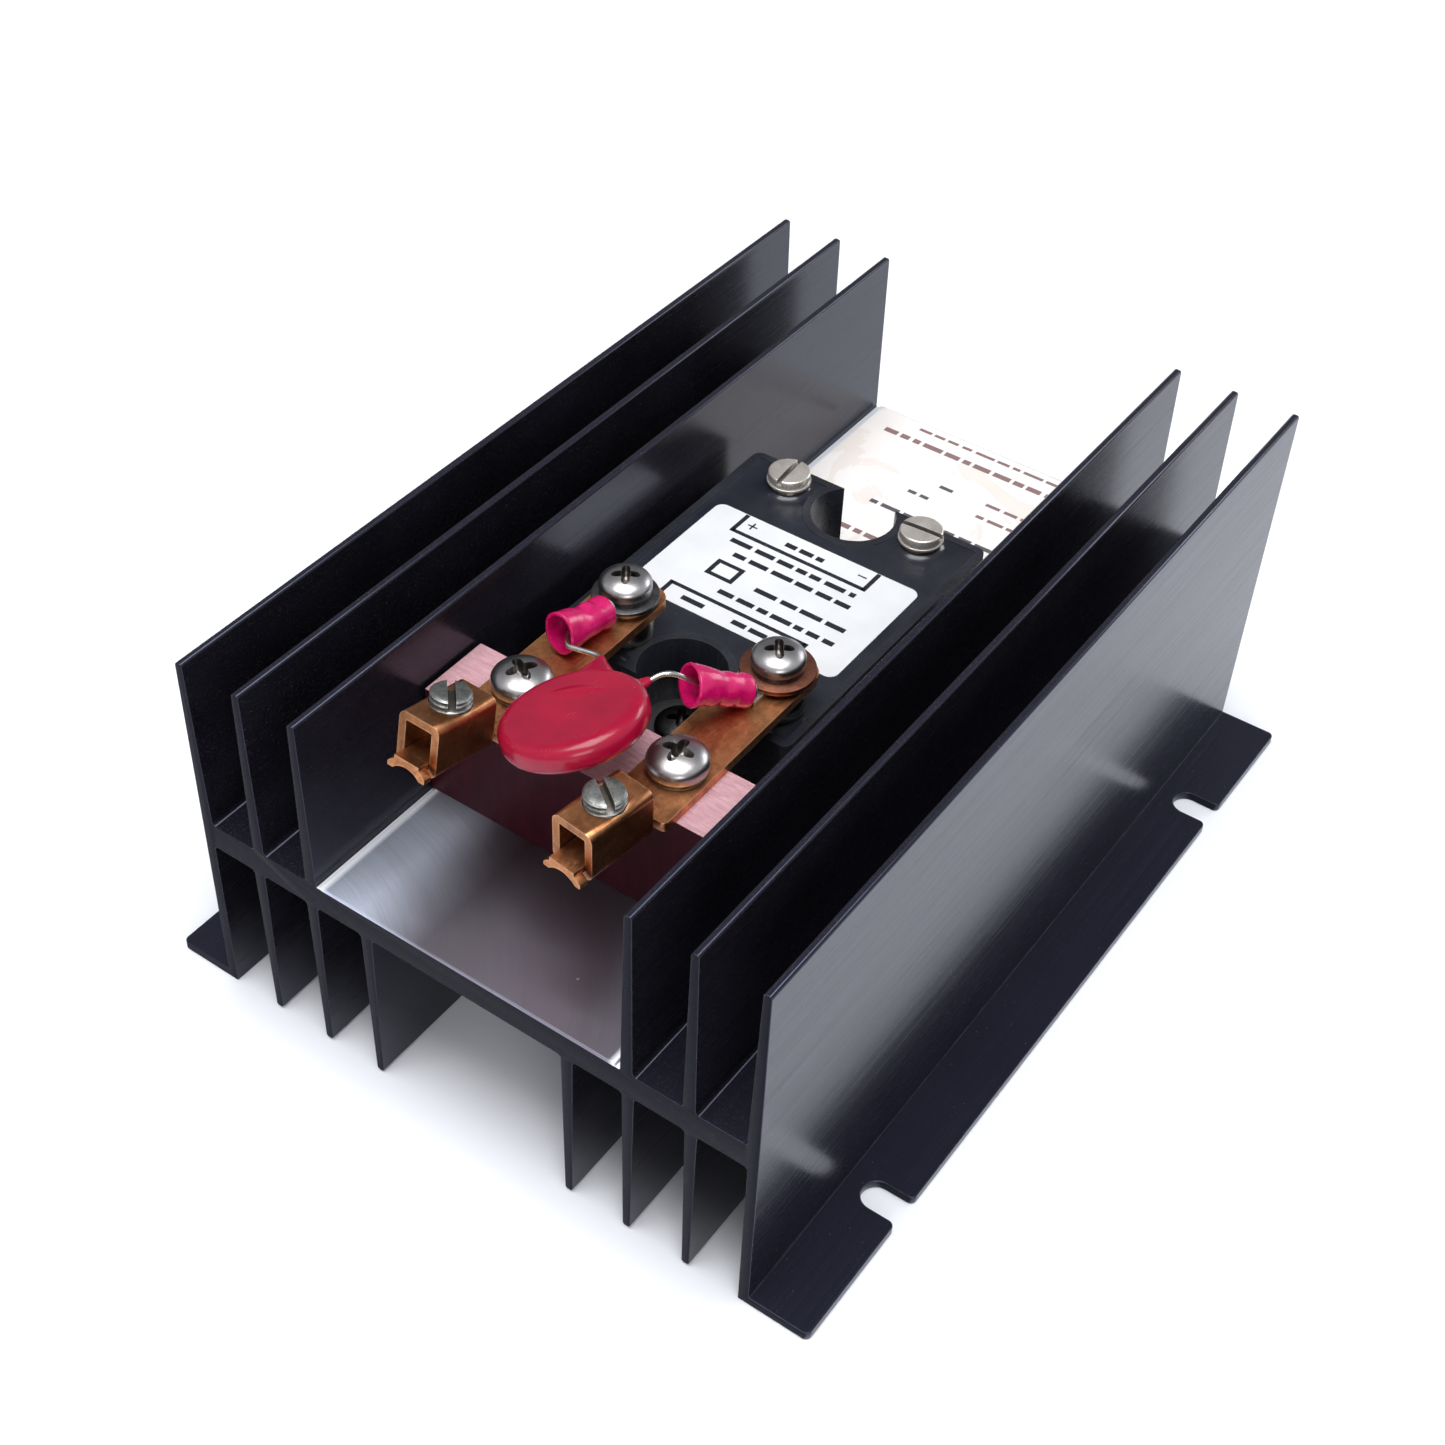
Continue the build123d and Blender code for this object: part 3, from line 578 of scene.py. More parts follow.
def paper_sticker():
    """Old glossy paper with faint brown water marks."""
    f = Finish("paper_sticker")
    mark = f.noise(0.06, 5.0, 0.6, warp=1.2)
    stain = f.between(mark, 0.58, 0.7)
    ring = f.times(f.between(mark, 0.55, 0.58), f.maths("SUBTRACT", 1.0, stain))
    tone = f.layered(
        f.cloudy(f.noise(0.05, 3.0), (0.86, 0.84, 0.83), (0.82, 0.775, 0.75)),
        (stain, 0.24, (0.72, 0.52, 0.38)),
        (ring, 0.22, (0.62, 0.42, 0.3)))
    foxing = f.between(f.noise(1.2, 5.0, 0.7), 0.64, 0.78, 0.0, 0.25)
    f.set("Base Color", f.mix(foxing, tone, (0.68, 0.52, 0.42)))
    f.set("Roughness", 0.5)
    f.bump(f.noise(0.35, 4.0), 0.04)
    return f.material


def printed_ink(name, colour):
    f = Finish(name)
    worn = f.between(f.noise(2.5, 5.0, 0.7), 0.6, 0.8)
    f.set("Base Color", f.layered(colour, (worn, 0.35, (0.55, 0.55, 0.58))))
    f.set("Roughness", 0.45)
    f.bump(f.noise(8.0, 3.0), 0.002)
    return f.material


def red_laminate():
    """Glass polyester board: dusty pink on its saw-cut top, dark and glossy on its moulded faces, whose near-black
    maroon is partly painted shade.
    """
    f = Finish("pink_laminate")
    # this mask marks the faces looking up, the saw-cut top; the other faces get a near-black maroon that is partly
    # painted shade
    sawn_and_lit = f.between(f.part(2, f.node("TexCoord").outputs["Normal"]), 0.55, 0.75)
    streaks = f.noise(1.0, 5.0, 0.75, stretch=(0.3, 1.7, 1.0), warp=0.8)
    cloud = f.between(f.noise(0.22, 4.0, 0.6), 0.35, 0.7, 0.0, 0.5)
    pink = f.mix(f.between(streaks, 0.3, 0.72), (0.42, 0.2, 0.235), (0.72, 0.46, 0.5))
    pink = f.layered(f.mix(cloud, pink, (0.54, 0.31, 0.35)), (f.edges(0.35), 0.6, (0.4, 0.05, 0.09)))
    fibres = f.noise(0.8, 4.0, 0.6, stretch=(1.0, 1.0, 0.25))
    # partly painted shade: the faces that do not look up are painted near-black maroon
    maroon = f.cloudy(fibres, (0.024, 0.0012, 0.0038), (0.046, 0.003, 0.008))
    f.set("Base Color", f.mix(sawn_and_lit, maroon, pink))
    f.set("Roughness", f.between(sawn_and_lit, 0.0, 1.0, 0.34, 0.8))
    f.set("Specular IOR Level", 0.12)
    f.bump(f.times(streaks, sawn_and_lit), 0.22)
    f.bump(f.noise(4.0, 4.0), 0.008)
    return f.material


def dipped_epoxy():
    """The varistor's coating: deep crimson, slightly lumpy, with hairline scratches."""
    f = Finish("varistor_red")
    cloud = f.noise(0.14, 3.0)
    hairs = f.noise(3.2, 3.0, 0.6, stretch=(1.0, 0.06, 1.0))
    scratch = f.times(f.between(hairs, 0.66, 0.7), f.between(f.noise(0.2, 2.0), 0.5, 0.6))
    red = f.cloudy(cloud, (0.26, 0.0015, 0.024), (0.35, 0.003, 0.031))
    f.set("Base Color", f.layered(red, (scratch, 0.2, (0.6, 0.12, 0.18))))
    f.set("Roughness", f.plus(f.between(cloud, 0.3, 0.7, 0.2, 0.27), f.times(scratch, 0.15)))
    f.set("Specular IOR Level", 0.34)
    f.set("Coat Weight", 0.15)
    f.set("Coat Roughness", 0.08)
    f.glow(0.1, (0.004, 0.0006, 0.0006))
    f.bump(f.noise(0.3, 2.0), 0.04)
    f.bump(f.noise(2.2, 3.0), 0.003)
    return f.material


def vinyl():
    """Translucent magenta vinyl with soft scuffs."""
    f = Finish("magenta_vinyl")
    cloud = f.noise(0.45, 4.0)
    scuff = f.between(f.noise(1.4, 5.0, 0.7, warp=0.8), 0.58, 0.75)
    magenta = f.cloudy(cloud, (0.4, 0.002, 0.075), (0.54, 0.006, 0.12))
    f.set("Base Color", f.layered(magenta, (scuff, 0.15, (0.85, 0.25, 0.4))))
    f.set("Roughness", f.between(cloud, 0.3, 0.7, 0.18, 0.3))
    f.glow(0.15, (0.006, 0.001, 0.002))
    f.bump(f.noise(1.1, 4.0), 0.04)
    return f.material


def plain_solid(name, dark, light, roughness, metallic=0.0, per_mm=1.0):
    """A quiet two-tone finish for the pieces inside the relay."""
    f = Finish(name, metallic)
    cloud = f.noise(per_mm, 5.0, 0.65)
    f.set("Base Color", f.cloudy(cloud, dark, light))
    f.set("Roughness", f.between(cloud, 0.3, 0.7, roughness * 1.2, roughness * 0.85))
    f.bump(f.noise(per_mm * 4, 4.0), 0.01)
    return f.material


# Dark tone, light tone, roughness, then per_mm, pits, wear, hollow shade (painted shade in hollows) and film as
# metal() takes them.
METALS = {
    "tinned_wire": ((0.42, 0.41, 0.4), (0.66, 0.65, 0.64), 0.26, 0.5, 0.0006),
    "tinned_terminal": ((0.42, 0.4, 0.38), (0.7, 0.68, 0.65), 0.32, 1.0),
    "nickel_post": ((0.2, 0.19, 0.17), (0.45, 0.43, 0.39), 0.22, 0.5),
    "bright_steel": ((0.3, 0.29, 0.295), (0.5, 0.485, 0.49), 0.3, 0.6, 0.003, 0.3, 0.95),
    "nickel_screw": ((0.55, 0.5, 0.45), (0.8, 0.75, 0.7), 0.27, 0.5, 0.001, 0.2, 0.8, 0.3),
    "zinc_grey": ((0.11, 0.115, 0.11), (0.36, 0.37, 0.36), 0.42, 1.1, 0.02, 0.4, 0.9),
    "dark_washer": ((0.06, 0.06, 0.065), (0.2, 0.2, 0.21), 0.34, 0.8, 0.01, 0.3),
    "copper_washer": ((0.13, 0.05, 0.035), (0.3, 0.12, 0.075), 0.42, 0.8, 0.02),
    # steel_black: the near-black tone is partly the black finish and partly painted shade for the screw deep in
    # the relay's notch
    "steel_black": ((0.01, 0.01, 0.011), (0.035, 0.035, 0.037), 0.45, 0.8, 0.01),
    # bare_aluminium: painted shade, the baseplate metal is darkened to near black where it sits in shade in the
    # relay's notch
    "bare_aluminium": ((0.08, 0.08, 0.085), (0.14, 0.14, 0.145), 0.5, 0.4),
}

# Dark tone, light tone, roughness, then metallic and per_mm as plain_solid() takes them.
PLAIN_SOLIDS = {
    "thermal_compound": ((0.6, 0.6, 0.58), (0.8, 0.8, 0.78), 0.6),
    "ceramic": ((0.78, 0.78, 0.74), (0.9, 0.9, 0.87), 0.4),
    "silicon": ((0.06, 0.06, 0.08), (0.14, 0.14, 0.18), 0.15, 0.6),
    "circuit_board": ((0.01, 0.08, 0.03), (0.03, 0.16, 0.06), 0.4, 0.0, 0.7),
    "component_black": ((0.01, 0.01, 0.01), (0.03, 0.03, 0.03), 0.45),
    "component_tan": ((0.5, 0.33, 0.18), (0.66, 0.46, 0.28), 0.45),
    "component_blue": ((0.02, 0.06, 0.25), (0.04, 0.12, 0.4), 0.35),
}


def make_finishes():
    """Every material, by the record's slot name."""
    return {
        "black_anodised_aluminium": anodised_aluminium(),
        "moulded_black": moulded_plastic(),
        "potting_compound": potting_compound(),
        "white_label": label_film(),
        "paper_sticker": paper_sticker(),
        "pink_laminate": red_laminate(),
        "varistor_red": dipped_epoxy(),
        "magenta_vinyl": vinyl(),
        "copper": aged_copper("copper", 0.88),
        **{name: metal(name, *values) for name, values in METALS.items()},
        **{name: plain_solid(name, *values) for name, values in PLAIN_SOLIDS.items()},
    }


FINISH = make_finishes()
STRAP_COPPER = aged_copper("strap_copper", 1.3)
INK = printed_ink("label_ink", (0.006, 0.007, 0.014))
PALE_INK = printed_ink("sticker_ink", (0.24, 0.15, 0.15))
DARK_STICKER_INK = printed_ink("sticker_dark_ink", (0.1, 0.09, 0.1))


# ======== CAD pieces that stay
NODE_SLOT = {part["node"]: part["material_slot"] for part in frame["record"]["subparts"]}
NODE_BODY = {node: body for body, nodes in frame["record"]["behaviour"]["bodies"].items() for node in nodes}

# How far the corners of the CAD pieces that stay are rounded, in millimetres.
ROUNDING = {"heatsink": 0.13, "relay_case": 0.16, "relay_baseplate": 0.12, "insulator_block": 0.2}
for one_side in SIDES:
    ROUNDING["strap_" + one_side] = 0.2
    ROUNDING["lug_collar_" + one_side] = 0.16
    ROUNDING["ring_terminal_" + one_side] = 0.12


def keep_cad_nodes():
    """Gives every CAD node its slot's finish, and rounds the corners of those in ROUNDING."""
    for name, obj in frame["nodes"].items():
        obj.data.materials.clear()
        obj.data.materials.append(STRAP_COPPER if name.startswith("strap") else FINISH[NODE_SLOT[name]])
        if name not in ROUNDING:
            continue
        weld = obj.modifiers.new("weld", "WELD")
        weld.merge_threshold = 0.001 * MM
        flat = obj.modifiers.new("flat", "DECIMATE")
        flat.decimate_type = "DISSOLVE"
        flat.angle_limit = math.radians(0.5)
        rounded(obj, ROUNDING[name]).harden_normals = True


# ======== screws and washers
def shank_profile(tip, seat, radius, depth):
    """A threaded shank, from its tip's middle up to its head."""
    per_mm = 12
    profile = [(0, tip, 0), (radius - 0.55, tip, 0), (radius - 0.1, tip + 0.45, 0)]
    steps = int((seat - tip - 0.6) * per_mm)
    for k in range(steps + 1):
        fade = min(1.0, k / 6, (steps - k) / 6)
        profile.append((radius, tip + 0.5 + k / per_mm, depth * fade))
    return profile + [(0, seat + 0.1, 0)]


def pan_head_profile(seat, radius, height):
    """A domed pan head, from the middle of its seat to the middle of its top."""
    rim = 0.3 * height
    profile = [(0, seat, 0), (radius - 0.16, seat, 0), (radius - 0.04, seat + 0.05, 0)]
    profile.append((radius, seat + 0.16, 0))
    steps = 18
    for k in range(steps):
        angle = math.radians(90 * k / steps)
        dome = (height - rim) * math.sin(angle) ** 0.92
        profile.append((radius * math.cos(angle), seat + rim + dome, 0))
    return profile + [(0, seat + height, 0)]


def cross_cutter(matrix, ceiling, reach, depth):
    """A cross recess whose four arms shorten and fill in as they go down."""
    levels = ((-1.0, 1.06, 0.4), (0.0, 1.0, 0.4), (0.5 * depth, 0.88, 0.44), (0.85 * depth, 0.7, 0.52),
              (depth, 0.42, 0.8))
    rings = []
    for drop, length, waist in levels:
        ring = []
        for angle in circle(96):
            radius = reach * length * (waist + (1 - waist) * abs(math.cos(2 * angle)) ** ARM_SHARPNESS)
            ring.append((radius * math.cos(angle), radius * math.sin(angle), ceiling - drop))
        rings.append(ring)
    return tidy(loft("recess", rings, matrix))


def slot_cutter(matrix, ceiling, width, depth):
    """A straight slot right across a head."""
    reach, half = 8.0, width / 2
    outline = ((-reach, -half), (reach, -half), (reach, half), (-reach, half))
    return loft("slot", [[(x, y, z) for x, y in outline] for z in (ceiling - depth, ceiling + 2.0)], matrix)


def spin(turn):
    """A turn about z, in degrees."""
    return Matrix.Rotation(math.radians(turn), 4, "Z")


def upright_frame(node, turn):
    """The frame of a standing screw, turned by turn degrees, with heights kept."""
    centre = middle(node)
    return Matrix.Translation((centre.x, centre.y, 0)) @ spin(turn)


def pan_parts(matrix, tip, seat, crown, head_radius, shank_radius):
    """A domed head with its cross recess, and its threaded shank."""
    height = crown - seat
    head = tidy(lathe("head", pan_head_profile(seat, head_radius, height), matrix))
    cut(head, cross_cutter(matrix, crown, RECESS_REACH * head_radius, RECESS_DEPTH * height))
    shank = lathe("shank", shank_profile(tip, seat, shank_radius, THREAD_NO8), matrix, 48, PITCH_8_32)
    return [head, shank]


def pan_screw(node, seat, shank_radius, turn):
    """A cross-recess pan-head screw."""
    low, high = box_mm(node)
    parts = pan_parts(upright_frame(node, turn), low.z, seat, high.z, half_width(node), shank_radius)
    stand_in(tidy(join(node + "_turned", parts), 40), node)


def two_block_fixings(node):
    """The pair of screws under the web, head down."""
    low, high = box_mm(node)
    parts = []
    for x, turn in ((low.x + FIXING_HEAD_RADIUS, 20), (high.x - FIXING_HEAD_RADIUS, -20)):
        matrix = Matrix.Translation((x, (low.y + high.y) / 2, low.z + high.z))
        matrix = matrix @ Matrix.Rotation(math.pi, 4, "X") @ spin(turn)
        parts += pan_parts(matrix, low.z, high.z - FIXING_HEAD_HEIGHT, high.z, FIXING_HEAD_RADIUS, NO8_RADIUS)
    stand_in(tidy(join(node + "_turned", parts), 40), node)


def cheese_screw(node, seat, turn):
    """A slotted input terminal screw."""
    low, high = box_mm(node)
    radius = half_width(node)
    matrix = upright_frame(node, turn)
    edge = 0.34
    profile = [(0, seat, 0), (radius - 0.14, seat, 0), (radius, seat + 0.12, 0), (radius, high.z - edge, 0)]
    for k in range(1, 7):
        angle = math.radians(15 * k)
        profile.append((radius - edge * (1 - math.cos(angle)), high.z - edge + 0.26 * math.sin(angle), 0))
    profile += [(radius * 0.5, high.z - 0.02, 0), (0, high.z, 0)]
    head = tidy(lathe("head", profile, matrix))
    cut(head, slot_cutter(matrix, high.z, *INPUT_SLOT))
    rounded(head, 0.07)
    applied(head)
    shank = lathe("shank", shank_profile(low.z, seat, NO6_RADIUS, THREAD_NO6), matrix, 48, PITCH_8_32)
    stand_in(tidy(join(node + "_turned", [head, shank]), 40), node)


def clamp_screw(side):
    """A headless slotted screw, threaded along its whole length, leaning with its collar."""
    node = "lug_screw_" + side
    travel = next(joint for joint in frame["joints"] if joint["name"] == "lug_screw_travel_" + side)
    axis = Vector(travel["axis"]).normalized()
    matrix = turned_frame(middle(node), axis, (1, 0, 0)) @ spin(LUG_TURN[side])
    radius, half = CLAMP_RADIUS, CLAMP_LENGTH / 2
    profile = [(0, -half, 0), (radius - 0.5, -half, 0)]
    steps = 66
    for k in range(steps + 1):
        height = -half + 0.35 + (CLAMP_LENGTH - 0.62) * k / steps
        fade = min(1.0, k / 5, 0.35 + (steps - k) / 7)
        profile.append((radius, height, THREAD_LUG * fade))
    profile += [(radius - 0.26, half - 0.1, 0), (radius - 0.4, half - 0.02, 0), (radius * 0.5, half, 0)]
    profile.append((0, half, 0))
    screw = tidy(lathe(node + "_threaded", profile, matrix, 72, PITCH_LUG), 40)
    cut(screw, slot_cutter(matrix, half, *CLAMP_SLOT))
    stand_in(tidy(screw, 40), node)


def washer_section(inner, outer, low, high, edge=0.12):
    """A washer's (radius, height) section with rounded outer corners."""
    flat, third = outer - edge, edge * 0.3
    return [(inner, low), (flat, low), (outer - third, low + third), (outer, low + edge),
            (outer, high - edge), (outer - third, high - third), (flat, high), (inner, high)]


def turned(section, angle):
    """A section's points, turned about z."""
    return [(radius * math.cos(angle), radius * math.sin(angle), height) for radius, height in section]


def flat_washer(node, bore):
    low, high = box_mm(node)
    section = washer_section(bore, half_width(node), low.z, high.z)
    rings = [turned(section, angle) for angle in circle(72)]
    stand_in(tidy(loft(node + "_ring", rings, upright_frame(node, 0), closed=True)), node)


def spring_washer(node, bore, outer, turn):
    """A split washer whose ends stand slightly apart."""
    low, high = box_mm(node)
    gap, lift, steps = 0.09, 0.05, 71
    rings = []
    for k in range(steps + 1):
        share = k / steps
        rise = lift * (share - 0.5)
        section = washer_section(bore, outer, low.z + lift / 2 + rise, high.z - lift / 2 + rise, 0.1)
        rings.append(turned(section, gap + share * (2 * math.pi - 2 * gap)))
    stand_in(tidy(loft(node + "_coil", rings, upright_frame(node, turn))), node)


def round_post(node, bore, stem):
    """A terminal post: a stem in the potting, a wide seat above it and a threaded bore."""
    low, high = box_mm(node)
    radius = half_width(node)
    shoulder = POTTING_TOP + 0.3
    profile = [(0, low.z, 0), (stem, low.z, 0)]
    if stem < radius:
        profile += [(stem, shoulder, 0), (radius - 0.1, shoulder, 0)]
    profile += [(radius, shoulder + 0.12, 0), (radius, high.z - 0.25, 0), (radius - 0.08, high.z - 0.08, 0)]
    profile += [(radius - 0.25, high.z, 0), (bore + 0.15, high.z, 0), (bore, high.z - 0.2, 0)]
    profile += [(bore, low.z + 1.6, 0), (0, low.z + 1.2, 0)]
    stand_in(tidy(lathe(node + "_round", profile, upright_frame(node, 0))), node)


def fasteners(side):
    pan_screw("output_screw_" + side, top("output_lock_washer_" + side), NO8_RADIUS, OUTPUT_TURN[side])
    pan_screw("block_screw_" + side, top("block_washer_" + side), NO10_RADIUS, BLOCK_TURN[side])
    cheese_screw("input_screw_" + side, top("input_washer_" + side), INPUT_TURN[side])
    clamp_screw(side)
    flat_washer("output_flat_washer_" + side, NO8_RADIUS + 0.2)
    flat_washer("input_washer_" + side, NO6_RADIUS + 0.2)
    spring_washer("output_lock_washer_" + side, NO8_RADIUS + 0.2, 4.0, 150)
    spring_washer("block_washer_" + side, NO10_RADIUS + 0.2, 4.4, 200)
    round_post("output_post_" + side, NO8_RADIUS + 0.05, OUTPUT_STEM)
    round_post("input_post_" + side, NO6_RADIUS + 0.05, half_width("input_post_" + side))


# ======== potting, label and sticker
def potting():
    """The poured surface: it climbs the case walls and the posts a little, and is never quite flat."""
    low, high = box_mm("relay_case")
    centre = (low + high) / 2
    half_x = (high.x - low.x) / 2 - CASE_WALL
    half_y = (high.y - low.y) / 2 - CASE_WALL
    front = middle("relay_mounting_screw").y - centre.y
    posts = []
    for side in SIDES:
        posts.append((middle("output_post_" + side), OUTPUT_STEM, OUTPUT_CLIMB))
        posts.append((middle("input_post_" + side), half_width("input_post_" + side), INPUT_CLIMB))

    def wall_distance(x, y):
        notches = [math.hypot(x, y - end * abs(front)) - NOTCH_RADIUS - CASE_WALL for end in (-1, 1)]
        return min(half_x - abs(x), half_y - abs(y), *notches)

    def surface(x, y):
        rise = WALL_CLIMB * math.exp(-max(0.0, wall_distance(x - centre.x, y - centre.y)) / WALL_FADE)
        for place, radius, climb in posts:
            away = max(0.0, math.hypot(x - place.x, y - place.y) - radius)
            rise += climb * math.exp(-away / POST_FADE)
        dip = POTTING_DIP * (0.5 + 0.5 * noise.noise(Vector((x * 0.16, y * 0.16, 3.0))))
        return POTTING_TOP - dip + rise

    step = 0.3
    vertices, index, faces = [], {}, []
    across, along = int(half_x / step) + 2, int(half_y / step) + 2
    for i in range(-across, across):
        for j in range(-along, along):
            if wall_distance((i + 0.5) * step, (j + 0.5) * step) < -0.55:
                continue
            corners = []
            for di, dj in ((0, 0), (1, 0), (1, 1), (0, 1)):
                key = (i + di, j + dj)
                if key not in index:
                    x, y = centre.x + key[0] * step, centre.y + key[1] * step
                    index[key] = len(vertices)
                    vertices.append((x, y, surface(x, y)))
                corners.append(index[key])
            faces.append(tuple(corners))
    fill = make("potting_fill", vertices, faces)
    thicken = fill.modifiers.new("depth", "SOLIDIFY")
    thicken.thickness = 3.0 * MM
    thicken.offset = -1
    stand_in(tidy(applied(fill), 60), "relay_potting")


def flat_bars(name, bars, height, finish):
    """Thin printed bars on a flat face, each (x0, x1, y0, y1)."""
    thickness = 0.02
    vertices, faces = [], []
    for x0, x1, y0, y1 in bars:
        first = len(vertices)
        for z in (height - thickness, height + thickness):
            vertices += [(x0, y0, z), (x1, y0, z), (x1, y1, z), (x0, y1, z)]
        rows = [list(range(first, first + 4)), list(range(first + 4, first + 8))]
        faces += bridge(rows) + [tuple(rows[0])[::-1], tuple(rows[1])]
    dress(tidy(make(name, vertices, faces)), finish, "base")


def dashes(draw, *rows):
    """Plain dashes in place of lines of print. Each row is (x0, x1, y, thickness)."""
    bars = []
    for x0, x1, y, thickness in rows:
        while x0 < x1 - 0.8:
            end = min(x1, x0 + draw.uniform(1.4, 4.2))
            bars.append((x0, end, y - thickness / 2, y + thickness / 2))
            x0 = end + draw.uniform(0.6, 0.9)
    return bars


def bracket(x0, x1, y, tick, thickness=0.78):
    """A printed line with ticks at its ends that reach to y = tick."""
    ends = sorted((y, tick))
    half = thickness / 2
    bars = [(x0, x1, y - half, y + half)]
    for x in (x0, x1):
        bars.append((x - half, x + half, ends[0] - half, ends[1] + half))
    return bars


def open_square(x, y, wide, high, line):
    """Four printed bars round an empty square."""
    top_line, right_line = y + high - line, x + wide - line
    return [(x, x + wide, y, y + line), (x, x + wide, top_line, y + high), (x, x + line, y + line, top_line),
            (right_line, x + wide, y + line, top_line)]


def label_print():
    """Two terminal brackets, the polarity signs, an empty square and rows of dashes."""
    draw = random.Random(4)
    left, right = -16.2, 8.9
    bars = bracket(left, right, 11.8, 16.1) + bracket(left, right, -4.8, -8.6)
    sign_y, thin = 14.4, 0.15
    bars += [(-14.9, -13.1, sign_y - thin, sign_y + thin), (-14.15, -13.85, sign_y - 0.9, sign_y + 0.9)]
    bars += [(6.2, 7.8, sign_y - thin, sign_y + thin)]
    bars += open_square(-13.6, 0.2, 5.2, 4.2, 0.8)
    rows = ((-7.2, 0.0, 13.9), (-14.9, 8.7, 9.6), (-12.4, 10.0, 6.7), (-4.7, 12.0, 1.5), (-9.1, 12.3, -2.2),
            (-12.8, -8.2, -6.9), (-3.2, 6.6, -7.0))
    bars += dashes(draw, *[(*row, 1.05) for row in rows])
    flat_bars("label_print", bars, top("relay_label"), INK)


def sticker_print():
    """Rows of dashes in two shades of ink."""
    draw = random.Random(9)
    height = top("heatsink_sticker")
    brown = dashes(draw, (-22.0, 24.0, 70.3, 1.25), (-16.8, 23.0, 74.0, 0.75), (4.3, 20.0, 61.6, 0.8),
                   (4.5, 20.0, 57.7, 0.8), (-13.3, 22.0, 41.4, 1.2))
    dark = dashes(draw, (-4.9, -1.0, 61.2, 0.85), (-8.8, -3.3, 56.8, 0.85), (-12.7, 17.0, 50.4, 1.0))
    flat_bars("sticker_print_brown", brown, height, PALE_INK)
    flat_bars("sticker_print_dark", dark, height, DARK_STICKER_INK)


# ======== varistor and sleeves
def varistor():
    """A disc dipped in epoxy, whose coating runs out along both leads in a flat beak."""
    centre, axes, _ = long_axes("varistor_disc")
    normal = axes[2] if axes[2].z > 0 else -axes[2]
    matrix = turned_frame(middle("varistor_disc"), normal, (1, 0, 0))
    radius, half, edge = 10.9, 2.28, 1.9
    profile = [(0, -half, 0)]
    for k in range(13):
        angle = math.radians(-90 + 15 * k)
        side_height = (half - edge) * ((k > 6) - (k < 6))
        profile.append((radius - edge + edge * math.cos(angle), side_height + edge * math.sin(angle), 0))
    profile.append((0, half, 0))
    disc = lathe("disc", profile, matrix, 96)
    coating = join("varistor_coating", [disc] + [beak(side, centre, normal) for side in SIDES])
    blend = coating.modifiers.new("blend", "REMESH")
    blend.mode = "VOXEL"
    blend.voxel_size = 0.2 * MM
    smooth = coating.modifiers.new("smooth", "SMOOTH")
    smooth.factor = 0.5
    smooth.iterations = 14
    applied(coating)
    for face in coating.data.polygons:
        face.use_smooth = True
    stand_in(coating, "varistor_disc")


def beak(side, centre, normal):
    """The coating that runs out along a lead: wide and flat at the rim, thin at its tip."""
    wide, thick, inset, curve = BEAK[side]
    root, tip = Vector(LEAD_ROOT[side]), Vector(COATING_TIP[side])
    inside = root + (centre - root).normalized() * inset
    along = tip - inside
    rings = []
    steps = 16
    for k in range(steps + 1):
        share = k / steps
        half_thick = BEAK_TIP + thick * (1 - share) ** 1.2
        half_wide = BEAK_TIP + wide * (1 - share) ** curve
        height = along.length * share
        rings.append([(half_thick * math.cos(a), half_wide * math.sin(a), height) for a in circle(40)])
    return loft("beak", rings, turned_frame(inside, along, normal))


def sleeve_line(side):
    """A sleeve's middle, its direction towards its mouth and its length."""
    centre, axes, length = long_axes("crimp_sleeve_" + side)
    along = axes[0] if axes[0].y < 0 else -axes[0]
    return centre, along, length


def sleeve(side):
    """A crimped vinyl sleeve: dented over the barrel, then flared to an oval mouth."""
    node = "crimp_sleeve_" + side
    centre, along, length = sleeve_line(side)
    centre -= along * SLEEVE_OVERLAP / 2
    length += SLEEVE_OVERLAP
    squeeze = SLEEVE_SQUEEZE[side]
    steps, lip = 60, 0.12

    def outside(share, angle):
        height = share * length
        flare = max(0.0, (height - BARREL_LENGTH) / (length - BARREL_LENGTH))
        radius = BARREL_RADIUS + MOUTH_FLARE * flare
        radius *= 1 + MOUTH_OVAL * flare * math.cos(2 * (angle - squeeze))
        for place, deep in DENTS:
            near = math.exp(-((height - place) / 0.75) ** 2)
            radius *= 1 - deep * near * max(0.0, math.cos(angle - squeeze)) ** 3
            radius *= 1 - 0.6 * deep * near * max(0.0, -math.cos(angle - squeeze)) ** 3
        wobble = noise.noise(Vector((math.cos(angle) * 1.3, math.sin(angle) * 1.3, height * 0.45 + squeeze)))
        return radius * (1 + 0.06 * wobble)

    def ring(share, wall, trim, least=0.0):
        points = []
        for angle in circle(64):
            radius = max(least, outside(share, angle) - wall - trim)
            points.append((radius * math.cos(angle), radius * math.sin(angle), share * length))
        return points

    shares = [k / steps for k in range(steps + 1)]
    rings = [ring(share, 0.0, lip if share in (0, 1) else 0.0) for share in shares]
    for share in reversed(shares):
        rings.append(ring(share, SLEEVE_WALL, 0.0 if share > 0.62 else lip, SLEEVE_BORE))
    matrix = turned_frame(centre - along * length / 2, along, (0, 0, 1))
    stand_in(tidy(loft("sleeve_" + side + "_skin", rings, matrix, closed=True), 60), node)


def rounded_path(corners, reach):
    """Points along a polyline whose corners are rounded off within reach of each."""
    path = [corners[0]]
    for before, corner, after in zip(corners, corners[1:], corners[2:]):
        start = corner + (before - corner).normalized() * min(reach, (before - corner).length * 0.45)
        end = corner + (after - corner).normalized() * min(reach, (after - corner).length * 0.45)
        for k in range(9):
            share = k / 8
            path.append(start.lerp(corner, share).lerp(corner.lerp(end, share), share))
    return path + [corners[-1]]


